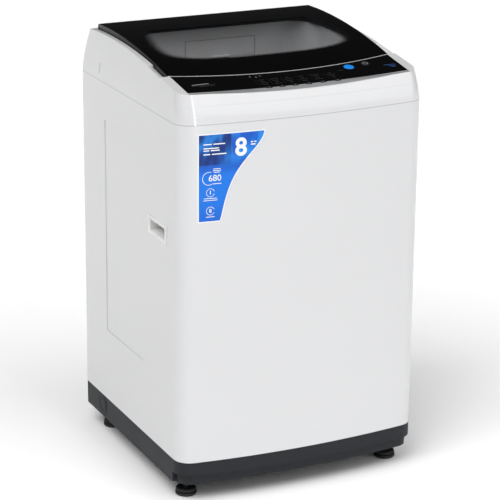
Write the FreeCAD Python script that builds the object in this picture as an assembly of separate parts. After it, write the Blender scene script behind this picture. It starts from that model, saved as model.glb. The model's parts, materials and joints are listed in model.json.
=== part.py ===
import FreeCAD, Part
import math
import os
from FreeCAD import Rotation, Vector

# Top load washing machine: steel cabinet on a plastic base, curved glass lid that is hinged at
# the rear, touch fascia along the front of the top frame, and a tub that hangs on four rods.
# Millimetres. Origin on the floor under the middle of the cabinet, front towards -Y, +Z up.

# Cabinet and base
width = 540.0
depth = 530.0                 # from the crown of the bowed front to the rear edge of the sides
base_top = 91.0
cabinet_height = 702.5
front_bow = 21.0
corner_radius = 36.0
rear_radius = 4.0
sheet = 0.8
sheet_gap = 0.3               # between sheets and plastic pieces that slip past each other
flange = 22.0
rear_inset = 2.6              # rear panel behind the ends of the sides
field_side = 60.0             # borders of the rear panel's pressed field
field_low = 160.0
field_high = 90.0
press_depth = 1.5
press_margin_front = 205.0    # from the front crown to the pressed field of a side
press_length = 201.0
press_rise = 159.0            # from the base to the pressed field
press_height = 464.0
screw_radius = 4.0
screw_head = 2.0
screw_margin = 30.0           # from the panel's lower and upper edge
screw_rows = 4
base_wall = 3.0
base_skirt = 40.0             # lower edge of the base
base_step = 62.0              # where the front of the base steps in
base_setback = 8.0
foot_clearance = 30.0         # under the bosses that hold the feet
boss_radius = 16.0
socket_length = 92.0
seat_lip = 14.0

# Feet
foot_side = 38.0
foot_front = 75.0
foot_rear = 60.0
foot_radius = 22.0
foot_height = 15.0
stud_radius = 5.0
stud_length = 60.0
foot_notches = 24
running = 0.05
nut_across = 17.0
nut_height = 6.0

# Side grips and drain knock-out
grip_front = 81.0             # from the front crown to the grip's plate
grip_length = 94.0
grip_height = 39.0
grip_rise = 447.0             # from the base to the grip's plate
grip_border_y = 11.0
grip_border_z = 8.0
grip_depth = 26.0
grip_wall = 2.0
plate_proud = 1.0
knockout_radius = 21.5
knockout_from_rear = 93.0
knockout_rise = 68.0

# Top frame
frame_height = 110.0
frame_wall = 3.0
lean = ((0.0, 0.0, 0.0, 0.0), (0.2, 1.3, 4.5, 3.0), (0.47, 5.5, 15.5, 8.5),
        (0.84, 13.0, 30.0, 17.0), (1.0, 16.5, 38.0, 21.5))     # height share; side, front, rear
rim_drop_rear = 12.5
rim_drop_middle = 9.0
rim_drop_front = 3.0
mouth_side = 65.0             # from the cabinet's side to the mouth
mouth_front = 127.0
mouth_rear = 110.0
mouth_front_radius = 118.0
mouth_rear_radius = 72.0
well_gap = 2.0                # well's lower edge above the cabinet's edge
vent_from_rear = 97.0
vent_rise = 14.5
vent_length = 21.0
vent_width = 2.0
scoop_length = 70.0           # finger scoops beside the lid's front corners
scoop_inset = 8.0
scoop_tilt = 9.0
boss_drop = 42.0              # lower end of the sensor's bosses above the cabinet's edge
sensor_boss_radius = 4.0
sensor_boss_reach = 14.0

# Lid
lid_side = 25.3
lid_rear = 30.0
lid_front = 101.0             # from the front crown to the crown of the lid's front edge
lid_bow = 33.0
lid_radius = 1397.0
lid_peak = 899.3 - 793.5      # above the cabinet's edge
lid_peak_rear = 91.0
glass_thickness = 4.0
lid_thickness = 12.0
lid_seat = 14.0
lid_gap = 2.0
hinge_radius = 9.5
ear_radius = 4.6
ear_width = 10.0
ear_inset = 45.0
ear_gap = 0.5
pin_radius = 2.5
pin_length = 26.0
bumper_radius = 5.0
bumper_inset = 14.0
ear_sweep = 1.0               # spare height of the ears' slots, as the lid leans past upright
window_rear = 121.0
window_rear_side = 81.0
window_front = 181.0
window_side = 49.0

# Fascia, trims and buttons
panel_slope = 8.8
panel_rise = 866.0 - 793.5    # panel plane at the lid's front corners, above the cabinet's edge
fascia_thickness = 3.0
fascia_side = 28.5
fascia_front = 29.0
fascia_corner = 39.0
trim_front = 18.0
trim_corner = 34.5
trim_slope = 27.0
seam_width = 1.6
button_gap = 0.3
button_travel = 1.5
button_proud = 0.8
collar_width = 1.2
round_radius = 10.5
start_place = (130.0, 87.0)   # across, and from the front crown
power_place = (172.0, 96.0)
oval_length = 15.0
oval_width = 8.0
oval_places = (-74.0, -46.0, -18.0, 12.0, 43.0, 76.0)
stem_radius = 3.0
board_drop = 13.0
board_thickness = 1.6
board_ends = (-170.0, 190.0)
board_half = 19.0
post_places = (-150.0, -60.0, 60.0, 150.0)
transformer = (-160.0, 45.0, 15.0)       # start, length, height
relay = (-95.0, 18.0, 11.0)
relay_step = 24.0

# Detergent drawer, inlet and level sensor
drawer_width = 162.0
drawer_height = 40.0
drawer_depth = 76.0
drawer_top = 66.5             # above the cabinet's edge
drawer_wall = 2.0
drawer_gap = 0.5
lip_half = 20.0
lip_reach = 5.0
inlet_place = (152.0, 44.0)   # across, and above the cabinet's edge
inlet_radius = 13.2
inlet_bore = 9.0
pocket_size = 50.0
pocket_depth = 25.0
hose_radius = 9.0
hose_wall = 2.0
sensor_radius = 25.0
sensor_angle = 124.0
sensor_reach = 26.0
sensor_height = 30.0
nipple_radius = 3.0
nipple_length = 12.0
level_tube_radius = 4.6

# Tub, basket and pulsator
tub_gap = 32.0
tub_wall = 3.0
tub_floor_rise = 147.0        # underside of the tub above the base
cover_drop = 14.0             # cover's top under the cabinet's edge
cover_height = 14.0
basket_gap = 17.0
basket_wall = 1.0
basket_lift = 26.0
basket_drop = 22.0            # balance ring's top under the cover's top
ring_height = 46.0
ring_width = 30.0
mouth_gap = 8.0
centre_radius = 24.5          # hole for the gearbox in the tub and its plate
chamber_low = 14.0            # air chamber on the tub, above the tub's underside
chamber_top = 60.0
chamber_half = 13.0
hub_radius = 120.0
hub_height = 8.0
outer_shaft = 15.0
inner_shaft = 8.0
pulsator_gap = 38.0
pulsator_height = 30.0
vane_count = 4
vane_width = 13.0
pulsator_rise = 9.0           # pulsator's underside above the basket's floor
socket_depth = 16.0
filter_rise = 150.0
filter_height = 130.0
filter_half = 42.0
filter_depth = 24.0
filter_slots = 8
slot_pitch = 14.0

# Drive
plate_thickness = 3.0
gearbox_radius = 52.0
gearbox_height = 84.0
drive_radius = 76.0
motor_radius = 56.0
motor_height = 82.0
motor_offset = 158.0
motor_pulley_radius = 19.0
motor_shaft = 6.0
motor_slots = 12
pulley_height = 18.0
belt_width = 9.0
belt_thickness = 6.0

# Suspension
rod_inset = 75.0
rod_radius = 3.0
rod_ball = 9.0
rod_seat_drop = 31.0          # bracket's top under the cabinet's edge
bracket_sheet = 2.0
bracket_width = 60.0
bracket_length = 132.0
lug_rise = 62.0               # above the tub's underside
lug_height = 26.0
lug_radius = 19.0
spring_length = 90.0
spring_radius = 16.5
spring_wire = 3.2
spring_turns = 9

# Drain
pump_place = (-122.0, -62.0)
pump_radius = 34.0
pump_height = 48.0
pump_motor = 54.0
pump_motor_half = 24.0
pump_shaft = 3.0
pump_blades = 6
neck_radius = 14.0
neck_height = 18.0
port_length = 20.0
bellows_wall = 1.5
bellows_folds = 6
drain_radius = 11.0
drain_wall = 2.2
outlet_rise = 44.0            # above the base
outlet_length = 22.0
shoulder_height = 0.2         # of both spigots where they pass their wall
gland_place = (180.0, 52.0)   # across, and above the base
gland_radius = 11.0
cord_radius = 4.0

# Heights and radii that follow
cabinet_top = base_top + cabinet_height
bow_radius = (width * width / 4 + front_bow * front_bow) / (2 * front_bow)
front = -depth / 2
rear = depth / 2
panel_y = rear - rear_inset
outlet_z = base_top + outlet_rise
tub_radius = min(width, depth) / 2 - sheet - tub_gap
tub_floor = base_top + tub_floor_rise
cover_top = cabinet_top - cover_drop
cover_bottom = cover_top - cover_height
basket_radius = tub_radius - tub_wall - basket_gap
basket_floor = tub_floor + basket_lift
basket_top = cover_top - basket_drop
opening_radius = basket_radius - ring_width
lid_centre = Vector(0, rear - lid_peak_rear, cabinet_top + lid_peak - lid_radius)
lid_half = width / 2 - lid_side
lid_back = rear - lid_rear
lid_crown = front + lid_front
lid_bow_radius = (lid_half * lid_half + lid_bow * lid_bow) / (2 * lid_bow)
hinge_y = lid_back - hinge_radius


def lid_z(y, drop=0.0):
    """Height of the lid's top surface at y, or of a surface that lies drop under it."""
    radius = lid_radius - drop
    return lid_centre.z + math.sqrt(radius ** 2 - (y - lid_centre.y) ** 2)


hinge_z = lid_z(hinge_y) - hinge_radius
panel_line = lid_crown + lid_bow                  # y of the lid's front corners
panel_tilt = math.radians(panel_slope)


def panel_z(y, drop=0.0):
    """Height of the panel plane at y, or of a plane that lies drop under it."""
    rise = cabinet_top + panel_rise + (y - panel_line) * math.tan(panel_tilt)
    return rise - drop / math.cos(panel_tilt)


PARTS = {}


# Shapes that recur
def box(x0, x1, y0, y1, z0, z1):
    """Block between two corners."""
    return Part.makeBox(x1 - x0, y1 - y0, z1 - z0, Vector(x0, y0, z0))


def rod(radius, z0, z1, x=0.0, y=0.0):
    """Upright cylinder."""
    return Part.makeCylinder(radius, z1 - z0, Vector(x, y, z0))


def tube(outer, inner, z0, z1, x=0.0, y=0.0):
    """Upright tube."""
    return rod(outer, z0, z1, x, y).cut(rod(inner, z0, z1, x, y))


def rod_along(axis, radius, length, start):
    """Cylinder from a start point along an axis."""
    return Part.makeCylinder(radius, length, Vector(*start), axis)


def turned(points, x=0.0, y=0.0):
    """Solid of revolution about an upright axis, from (radius, z) points."""
    corners = [Vector(x + r, y, z) for r, z in points]
    face = Part.Face(Part.makePolygon(corners + corners[:1]))
    return face.revolve(Vector(x, y, 0), Vector(0, 0, 1), 360)


def prism(edges, direction):
    """Solid swept straight from a closed chain of edges."""
    return Part.Face(Part.Wire(Part.__sortEdges__(edges))).extrude(direction)


def fuse(shapes):
    """One solid from shapes that overlap or share faces."""
    return shapes[0].multiFuse(shapes[1:]).removeSplitter() if len(shapes) > 1 else shapes[0]


def arc_about(centre, start, end):
    """Short arc from start to end about a centre."""
    middle = (start - centre) + (end - centre)
    middle = centre + middle * ((start - centre).Length / middle.Length)
    return Part.Arc(start, middle, end).toShape()


def outline(z, side=0.0, ahead=None, behind=None):
    """Edges of the cabinet's plan at height z, moved inwards by the given insets."""
    ahead = side if ahead is None else ahead
    behind = side if behind is None else behind
    half = width / 2 - side
    back = rear - behind
    bow = bow_radius - ahead
    bow_centre = Vector(0, front + bow_radius, z)
    turn = max(corner_radius - side, 3.0)
    heel = max(rear_radius - side, 0.8)
    centre_x = half - turn
    centre = Vector(centre_x, bow_centre.y - math.sqrt((bow - turn) ** 2 - centre_x ** 2), z)
    side_start = Vector(half, centre.y, z)
    bow_end = bow_centre + (centre - bow_centre) * (bow / (bow - turn))
    heel_centre = Vector(half - heel, back - heel, z)
    heel_start = Vector(half, back - heel, z)
    heel_end = Vector(half - heel, back, z)
    right = [arc_about(centre, bow_end, side_start),
             Part.LineSegment(side_start, heel_start).toShape(),
             arc_about(heel_centre, heel_start, heel_end)]
    left = [edge.mirror(Vector(), Vector(1, 0, 0)) for edge in reversed(right)]
    flip = Vector(-bow_end.x, bow_end.y, z)
    crown = Part.Arc(flip, Vector(0, front + ahead, z), bow_end).toShape()
    back_edge = Part.LineSegment(heel_end, Vector(-heel_end.x, back, z)).toShape()
    return [crown] + right + [back_edge] + left


def block(z0, z1, side=0.0, ahead=None, behind=None):
    """Solid of the cabinet's plan between two heights."""
    return prism(outline(z0, side, ahead, behind), Vector(0, 0, z1 - z0))


def under_lid(drop):
    """Everything under a surface that lies drop under the lid's top."""
    start = (-width, lid_centre.y, lid_centre.z)
    return rod_along(Vector(1, 0, 0), lid_radius - drop, 2 * width, start)


def under_panel(drop):
    """Everything under a plane that lies drop under the panel plane."""
    low, high = 2 * front, rear
    corners = [Vector(-width, y, z) for y, z in (
        (low, 0), (low, panel_z(low, drop)), (high, panel_z(high, drop)), (high, 0))]
    return Part.Face(Part.makePolygon(corners + corners[:1])).extrude(Vector(2 * width, 0, 0))


def front_arc(crown, corner, half, z):
    """Arc across the front from its crown and the place of its ends."""
    ends = [Vector(x, corner, z) for x in (-half, half)]
    return Part.Arc(ends[0], Vector(0, crown, z), ends[1]).toShape()


def strip_plan(front_edge, rear_edge, z):
    """Edges of a strip between two arcs across the front."""
    sides = [Part.LineSegment(front_edge.valueAt(a), rear_edge.valueAt(b)).toShape()
             for a, b in ((front_edge.FirstParameter, rear_edge.FirstParameter),
                          (front_edge.LastParameter, rear_edge.LastParameter))]
    return [front_edge, rear_edge] + sides


def on_panel(shape, x, y):
    """Shape modelled about the origin, set square on the panel plane at x, y."""
    placed = shape.copy()
    turn = Rotation(Vector(1, 0, 0), panel_slope)
    placed.Placement = FreeCAD.Placement(Vector(x, y, panel_z(y)), turn)
    return placed


# Cabinet
def side_press(grow, reach):
    """Pressed fields of both sides, as blocks that reach into the cabinet."""
    y0 = front + press_margin_front - grow
    z0 = base_top + press_rise - grow
    size_y, size_z = press_length + 2 * grow, press_height + 2 * grow
    right = box(width / 2 - reach, width, y0, y0 + size_y, z0, z0 + size_z)
    return [right, right.mirror(Vector(), Vector(1, 0, 0))]


def grip_box(border, x0, x1):
    """Block of a right side grip's field, larger or smaller by its border."""
    y0 = front + grip_front + border * grip_border_y
    y1 = front + grip_front + grip_length - border * grip_border_y
    z0 = base_top + grip_rise + border * grip_border_z
    z1 = base_top + grip_rise + grip_height - border * grip_border_z
    return box(x0, x1, y0, y1, z0, z1)


def grip_pocket(grow, x0, x1):
    """Block of the finger pocket of a right side grip, larger by grow on each edge."""
    y0 = front + grip_front + grip_border_y - grow
    z0 = base_top + grip_rise + grip_border_z - grow
    y1 = front + grip_front + grip_length - grip_border_y + grow
    z1 = base_top + grip_rise + grip_height - grip_border_z + grow
    return box(x0, x1, y0, y1, z0, z1)


def both_sides(shape):
    """Shape on the right and its mirror image on the left."""
    return [shape, shape.mirror(Vector(), Vector(1, 0, 0))]


def make_cabinet_shell():
    """Front and sides in one bent sheet, with flanges for the rear panel."""
    outer = block(base_top, cabinet_top, 0, 0, 0).cut(Part.makeCompound(side_press(0, press_depth)))
    inner = block(base_top, cabinet_top, sheet, sheet, -sheet)
    inner = inner.cut(Part.makeCompound(side_press(sheet, sheet + press_depth)))
    shell = outer.cut(inner)
    pocket = grip_pocket(grip_wall + sheet_gap, width / 2 - 2 * sheet, width)
    shell = shell.cut(Part.makeCompound(both_sides(pocket)))
    x1 = width / 2 - sheet
    tongue = box(x1 - flange, x1, panel_y - 2 * sheet, panel_y - sheet, base_top, cabinet_top)
    return fuse([shell] + both_sides(tongue))


def rear_recess(grow, behind):
    """Block of the recess around the drain outlet in the rear panel."""
    half = outlet_length + grow
    x, z = pump_place[0], outlet_z
    return box(x - half, x + half, panel_y - outlet_length - grow, behind, z - half, z + half)


def make_rear_panel():
    """Flat rear sheet with a pressed field, a drain recess and a hole for the cord gland."""
    half = width / 2 - sheet - sheet_gap
    low, high = base_top + sheet_gap, cabinet_top - sheet_gap
    sheet_block = box(-half, half, panel_y - sheet, panel_y, low, high)

    def pressed(grow, deep):
        side = half - field_side - grow
        return box(-side, side, panel_y - deep, rear, low + field_low + grow,
                   high - field_high - grow)

    field, field_inner = pressed(0, 4 * sheet), pressed(sheet, 3 * sheet)
    panel = fuse([sheet_block, field, rear_recess(sheet, panel_y)])
    panel = panel.cut(box(-half, half, panel_y, rear + sheet, low, high))
    panel = panel.cut(Part.makeCompound([field_inner, rear_recess(0, rear)]))
    holes = [rod_along(Vector(0, 1, 0), drain_radius + sheet_gap, outlet_length * 2,
                       (pump_place[0], panel_y - 1.5 * outlet_length, outlet_z)),
             rod_along(Vector(0, 1, 0), gland_radius + sheet_gap, 4 * flange,
                       (gland_place[0], panel_y - flange, base_top + gland_place[1]))]
    return panel.cut(Part.makeCompound(holes))


def screw_places():
    """Places (x, z) of the rear panel's screws."""
    x = width / 2 - sheet - flange / 2
    step = (cabinet_height - 2 * screw_margin) / (screw_rows - 1)
    return [(side * x, base_top + screw_margin + step * i)
            for side in (-1, 1) for i in range(screw_rows)]


def make_cabinet_screws():
    """Pan head screws through the rear panel into the cabinet's flanges."""
    screws = []
    for x, z in screw_places():
        head = rod_along(Vector(0, 1, 0), screw_radius, screw_head, (x, panel_y, z))
        screws.append(head.makeFillet(screw_head / 3, [head.Edges[0]]))
    return screws


# Base and feet
def foot_places():
    """Names and places of the four feet."""
    x = width / 2 - foot_side
    rows = (("front", front + foot_front), ("rear", rear - foot_rear))
    return [(f"{row}_{name}", sign * x, y) for row, y in rows
            for name, sign in (("left", -1), ("right", 1))]


def base_plan(inset, z0, z1):
    """Solid of the base under its step, which stands back across the front and its corners."""
    corner_y = front + front_bow + corner_radius
    flush = block(z0, z1, inset)
    back_part = flush.common(box(-width, width, corner_y + inset, 2 * rear, z0, z1))
    return back_part.fuse(block(z0, z1, base_setback + inset, base_setback + inset, inset))


def make_base_frame():
    """Dark plastic base: outer walls, a seat lip, four corner sockets and a pump shelf."""
    ledge_top = base_step + base_wall
    band = block(base_step, base_top).cut(block(base_step, base_top, base_wall))
    skirt = base_plan(0, base_skirt, ledge_top)
    skirt = skirt.cut(base_plan(base_wall, base_skirt, ledge_top))
    ledge = block(base_step, ledge_top).cut(block(base_step, ledge_top, base_setback + base_wall))
    lip = block(base_top - seat_lip, base_top + seat_lip, sheet + sheet_gap, sheet + sheet_gap,
                rear_inset + 2 * sheet + sheet_gap)
    lip = lip.cut(block(base_top - seat_lip, base_top + seat_lip, base_wall + sheet))
    lip = lip.cut(box(-width / 2 + flange + 2, width / 2 - flange - 2, rear - 2 * flange, rear,
                      base_top, base_top + seat_lip))
    pieces = [band, skirt, ledge, lip]
    plan = base_plan(0, base_skirt, base_top).common(block(base_skirt, base_top))
    for _, x, y in foot_places():
        sign = math.copysign(1, x)
        inner_x, outer_x = sorted((x - sign * socket_length / 2, sign * width / 2))
        near_y, far_y = y - socket_length / 2, y + socket_length / 2
        walls = box(inner_x, outer_x, near_y, far_y, base_skirt, base_top)
        hollow = box(inner_x + base_wall, outer_x - base_wall, near_y + base_wall,
                     far_y - base_wall, base_skirt + base_wall, base_top)
        boss = rod(boss_radius, foot_clearance, base_skirt + base_wall, x, y)
        tower = rod(stud_radius + 2 * base_wall, foot_clearance, base_top - base_wall, x, y)
        pieces.append(fuse([walls.cut(hollow).common(plan), boss, tower]))
    shelf_x = pump_place[0] + pump_radius + base_wall
    pieces.append(box(-width / 2 + base_wall / 2, shelf_x, pump_place[1] - pump_radius,
                      pump_place[1] + pump_radius, base_skirt, base_skirt + base_wall))
    holes = [rod(stud_radius + running, 0, base_top, x, y) for _, x, y in foot_places()]
    y, z = rear - knockout_from_rear, knockout_rise
    holes.append(rod_along(Vector(1, 0, 0), knockout_radius, 3 * base_wall,
                           (-width / 2 - base_wall, y, z)))
    holes.append(rod_along(Vector(1, 0, 0), knockout_radius + base_wall + sheet_gap,
                           4 * base_wall, (-width / 2 + base_wall, y, z)))
    return fuse(pieces).cut(Part.makeCompound(holes))


def make_drain_knockout():
    """Removable disc in the left side of the base, held by a flange behind the wall."""
    y, z = rear - knockout_from_rear, knockout_rise
    outside = -width / 2 - plate_proud

    def disc(radius, start, end):
        return rod_along(Vector(1, 0, 0), radius, end - start, (outside + start, y, z))

    wall = plate_proud + base_wall
    plug = fuse([disc(knockout_radius - sheet_gap, 0, wall),
                 disc(knockout_radius + base_wall, wall, wall + 2.0)])
    groove = disc(knockout_radius - 2 * base_wall, 0, plate_proud)
    groove = groove.cut(disc(knockout_radius - 2 * base_wall - 2.0, 0, plate_proud))
    return plug.cut(groove).cut(disc(knockout_radius - base_wall, wall, wall + 2.0))


def make_foot(x, y):
    """Ribbed foot disc with a groove round its middle and an adjusting stud."""
    groove_z = foot_height * 0.55
    profile = [(0, 0), (foot_radius - 2, 0), (foot_radius, 2), (foot_radius, groove_z - 1.5),
               (foot_radius - 4, groove_z - 0.5), (foot_radius - 4, groove_z + 0.5),
               (foot_radius - 1, groove_z + 1.5), (foot_radius - 1, foot_height - 2),
               (foot_radius - 3, foot_height), (stud_radius, foot_height),
               (stud_radius, foot_height + stud_length), (0, foot_height + stud_length)]
    foot = turned(profile, x, y)
    notch = rod(1.2, groove_z, foot_height, x + foot_radius - 0.6, y)
    notches = []
    for i in range(foot_notches):
        turn = notch.copy()
        turn.rotate(Vector(x, y, 0), Vector(0, 0, 1), 360.0 / foot_notches * i)
        notches.append(turn)
    return foot.cut(Part.makeCompound(notches))


def make_foot_lock_nuts():
    """Hexagon nuts that lock the feet against the base."""
    nuts = []
    for _, x, y in foot_places():
        reach = nut_across / math.sqrt(3)
        corners = [Vector(x + reach * math.cos(math.radians(60 * i)),
                          y + reach * math.sin(math.radians(60 * i)),
                          foot_clearance - nut_height) for i in range(6)]
        nut = Part.Face(Part.makePolygon(corners + corners[:1])).extrude(Vector(0, 0, nut_height))
        nuts.append(nut.cut(rod(stud_radius + running, 0, foot_clearance, x, y)))
    return nuts


def make_side_grip():
    """Right side grip: a bordered plate with a closed finger pocket behind it."""
    wall_x = width / 2
    plate = grip_box(0, wall_x, wall_x + plate_proud)
    plate = plate.makeFillet(plate_proud * 0.6, [e for e in plate.Edges if e.CenterOfMass.x > wall_x
                                                 + plate_proud - 0.01])
    cup = grip_pocket(grip_wall, wall_x - grip_depth, wall_x)
    hollow = grip_pocket(0, wall_x - grip_depth + grip_wall, wall_x + 2 * plate_proud)
    return fuse([plate, cup]).cut(hollow)


# Top frame
def leaning_block(inset):
    """Outside of the top frame, whose walls lean in as they rise, moved in by an inset."""
    wires = []
    for share, side, ahead, behind in lean:
        z = cabinet_top + share * frame_height
        wires.append(Part.Wire(outline(z, side + inset, ahead + inset, behind + inset)))
    return Part.makeLoft(wires, True, False)


def under_rim(drop):
    """Everything under the side rims, which follow the lid and end under the panel."""
    middle = (lid_back + panel_line) / 2
    places = [(rear, lid_z(rear, rim_drop_rear)), (middle, lid_z(middle, rim_drop_middle)),
              (panel_line, lid_z(panel_line, rim_drop_front))]
    a, b, c = [Vector(-width, y, z - drop) for y, z in places]
    toe = Vector(-width, front - front_bow, c.z - (c.y - front) * 0.35)
    feet = [Vector(-width, toe.y, 0), Vector(-width, a.y, 0)]
    edges = [Part.Arc(a, b, c).toShape(), Part.LineSegment(c, toe).toShape(),
             Part.LineSegment(toe, feet[0]).toShape(), Part.LineSegment(*feet).toShape(),
             Part.LineSegment(feet[1], a).toShape()]
    return prism(edges, Vector(2 * width, 0, 0))


def panel_plan(inset):
    """Everything in front of the lid's front edge, as an upright block."""
    half = lid_half + lid_gap
    z = cabinet_top - seat_lip
    crown = lid_crown - lid_gap - inset
    corner = panel_line - lid_gap - inset
    wing = corner - lid_side * 0.8
    points = [(half, corner), (width, wing), (width, 2 * front), (-width, 2 * front),
              (-width, wing), (-half, corner)]
    corners = [Vector(x, y, z) for x, y in points]
    lines = [Part.LineSegment(a, b).toShape() for a, b in zip(corners, corners[1:])]
    return prism([front_arc(crown, corner, half, z)] + lines, Vector(0, 0, 2 * frame_height))


def lid_plan(grow, z0, z1, rear_grow=None):
    """Upright block of the lid's plan, larger by grow."""
    rear_grow = grow if rear_grow is None else rear_grow
    half = lid_half + grow
    back = lid_back + rear_grow
    corner = panel_line - grow
    ends = [Vector(half, corner, z0), Vector(half, back, z0), Vector(-half, back, z0),
            Vector(-half, corner, z0)]
    lines = [Part.LineSegment(a, b).toShape() for a, b in zip(ends, ends[1:])]
    return prism([front_arc(lid_crown - grow, corner, half, z0)] + lines, Vector(0, 0, z1 - z0))


def mouth_block(grow, z0, z1):
    """Upright block of the washing mouth, a rounded D, larger by grow."""
    half = width / 2 - mouth_side + grow
    y0, y1 = front + mouth_front - grow, rear - mouth_rear + grow

    def upright_edges(solid, y):
        return [e for e in solid.Edges if abs(e.CenterOfMass.y - y) < 0.01
                and abs(e.tangentAt(e.FirstParameter).z) > 0.9]

    solid = box(-half, half, y0, y1, z0, z1)
    solid = solid.makeFillet(mouth_front_radius + grow, upright_edges(solid, y0))
    return solid.makeFillet(mouth_rear_radius + grow, upright_edges(solid, y1))


def finger_scoops():
    """Wedges cut beside the lid's front corners so that fingers reach under its edge."""
    y1 = panel_line - lid_gap
    outer, inner = width / 2, lid_half - scoop_inset
    z = lid_z(y1 + scoop_length / 2, lid_seat)
    over = z + frame_height / 2
    corners = [Vector(outer, y1, z + 8.0), Vector(inner, y1, z - 5.0), Vector(inner, y1, over),
               Vector(outer, y1, over)]
    wedge = Part.Face(Part.makePolygon(corners + corners[:1])).extrude(Vector(0, scoop_length, 0))
    wedge.rotate(Vector(0, y1, z), Vector(1, 0, 0), scoop_tilt)
    return both_sides(wedge)


def hinge_bar(radius, half):
    """Cylinder about the lid's hinge axis, across the machine."""
    return rod_along(Vector(1, 0, 0), radius, 2 * half, (-half, hinge_y, hinge_z))


def ear_xs():
    """Places across of the two hinge ears."""
    return [sign * (lid_half - ear_inset) for sign in (-1, 1)]


def inlet_pocket(grow, y1):
    """Block of the recess around the inlet spigot in the rear of the top frame."""
    x, z = inlet_place[0], cabinet_top + inlet_place[1]
    half = pocket_size / 2 + grow
    return box(x - half, x + half, rear - pocket_depth - grow, y1, z - half, z + half)


def make_top_frame():
    """White plastic top: leaning walls, side rims, lid seat, washing mouth and panel seat."""
    low = cabinet_top
    shape = under_rim(0).fuse(panel_plan(0).common(under_panel(0)))
    outer = leaning_block(0).common(shape)
    cavity_top = under_lid(lid_seat + frame_wall).common(under_rim(frame_wall))
    cavity_top = cavity_top.cut(hinge_bar(hinge_radius + lid_gap + frame_wall, width))
    panel_cavity = panel_plan(frame_wall).common(under_panel(fascia_thickness + frame_wall))
    cavity = leaning_block(frame_wall).common(cavity_top.fuse(panel_cavity))
    frame = outer.cut(cavity)
    well = mouth_block(frame_wall, low + well_gap, low + frame_height)
    pocket_walls = inlet_pocket(frame_wall, rear)
    frame = fuse([frame, well.common(outer), pocket_walls.common(outer)])
    drawer_half = drawer_width / 2 + drawer_gap
    drawer_high = low + drawer_top + drawer_gap
    drawer_hole = box(-drawer_half, drawer_half, 0, rear - mouth_rear + 2 * frame_wall,
                      drawer_high - drawer_height - 2 * drawer_gap, drawer_high)
    cuts = [mouth_block(0, low - 1, low + 2 * frame_height), inlet_pocket(0, rear + 1),
            drawer_hole,
            lid_plan(lid_gap, low, low + 2 * frame_height, -hinge_radius).cut(under_lid(lid_seat)),
            hinge_bar(hinge_radius + lid_gap / 2, lid_half + lid_gap),
            fascia_block(0, fascia_thickness, sheet_gap), board_window(), inlet_hole()]
    cuts += finger_scoops() + trim_cut() + vent_slots()
    cuts += [button_hole(x, y, oval, collar_width + 2 * button_gap, 30.0)
             for _, x, y, oval in buttons()]
    frame = frame.cut(Part.makeCompound(cuts))
    lip = block(low - seat_lip, low + frame_wall, sheet + sheet_gap, sheet + sheet_gap,
                rear_inset + 2 * sheet + sheet_gap)
    lip = lip.cut(block(low - seat_lip, low + frame_wall, 2 * frame_wall))
    ears = []
    for x in ear_xs():
        half = ear_width / 2
        web = box(x - half, x + half, hinge_y - ear_radius, hinge_y + ear_radius,
                  hinge_z - hinge_radius - lid_gap - frame_wall / 2, hinge_z)
        eye = rod_along(Vector(1, 0, 0), ear_radius, ear_width, (x - half, hinge_y, hinge_z))
        ears.append(fuse([web, eye]))
    frame = fuse([frame, lip] + ears + sensor_bosses())
    return frame.cut(hinge_bar(pin_radius + running, width / 2 - lid_side - frame_wall))


def vent_slots():
    """Narrow upright slots near the rear of both sides."""
    y = rear - vent_from_rear
    z = cabinet_top + vent_rise
    slot = box(width / 2 - 4 * frame_wall, width, y - vent_width / 2, y + vent_width / 2,
               z, z + vent_length)
    return both_sides(slot)


def sensor_place():
    """Place of the level sensor, beside the tub at the left rear."""
    angle = math.radians(sensor_angle)
    reach = tub_radius + sensor_reach
    return reach * math.cos(angle), reach * math.sin(angle)


def sensor_bosses():
    """Bosses under the top frame that carry the level sensor."""
    x, y = sensor_place()
    low = cabinet_top + boss_drop
    posts = [rod(sensor_boss_radius, low, low + frame_height, x + side * sensor_boss_reach, y)
             for side in (-1, 1)]
    trough = hinge_bar(hinge_radius + lid_gap, width / 2)
    return [post.common(under_lid(lid_seat + frame_wall / 2)).cut(trough) for post in posts]


# Fascia, trims and buttons
def fascia_plan(grow, z):
    """Edges of the fascia between the seam trim and the front trim."""
    half = width / 2 - fascia_side + grow
    back_crown = lid_crown - lid_gap - seam_width
    corner = back_crown + lid_bow_radius - math.sqrt(lid_bow_radius ** 2 - half ** 2)
    back = front_arc(back_crown + grow, corner + grow, half, z)
    ahead = front_arc(front + fascia_front - grow, front + fascia_corner - grow, half, z)
    return strip_plan(ahead, back, z)


def fascia_block(top, bottom, grow):
    """Block of the fascia's plan between two depths under the panel plane."""
    upright = prism(fascia_plan(grow, cabinet_top), Vector(0, 0, 2 * frame_height))
    top_side = under_panel(-2 * frame_height) if grow else under_panel(top)
    return upright.common(top_side).cut(under_panel(bottom))


def buttons():
    """Name, x, y and whether oval, of each button."""
    places = [("start_button", start_place[0], front + start_place[1], False),
              ("power_button", power_place[0], front + power_place[1], False)]
    half = width / 2 - fascia_side
    bow = (half ** 2 + (fascia_corner - fascia_front) ** 2) / (2 * (fascia_corner - fascia_front))
    for i, x in enumerate(oval_places):
        y = front + fascia_front + bow - math.sqrt(bow ** 2 - x ** 2) + oval_width / 4
        places.append((f"program_button_{i + 1}", x, y, True))
    return places


def key_shape(oval, grow, z0, z1):
    """Round or oval key about the origin, larger by grow."""
    if not oval:
        return rod(round_radius + grow, z0, z1)
    radius = oval_width / 2 + grow
    reach = oval_length / 2 - oval_width / 2
    ends = [rod(radius, z0, z1, side * reach) for side in (-1, 1)]
    return fuse(ends + [box(-reach, reach, -radius, radius, z0, z1)])


def button_hole(x, y, oval, grow, drop):
    """Hole for a button through whatever lies on the panel plane."""
    return on_panel(key_shape(oval, grow, -drop, 4 * button_proud), x, y)


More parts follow.
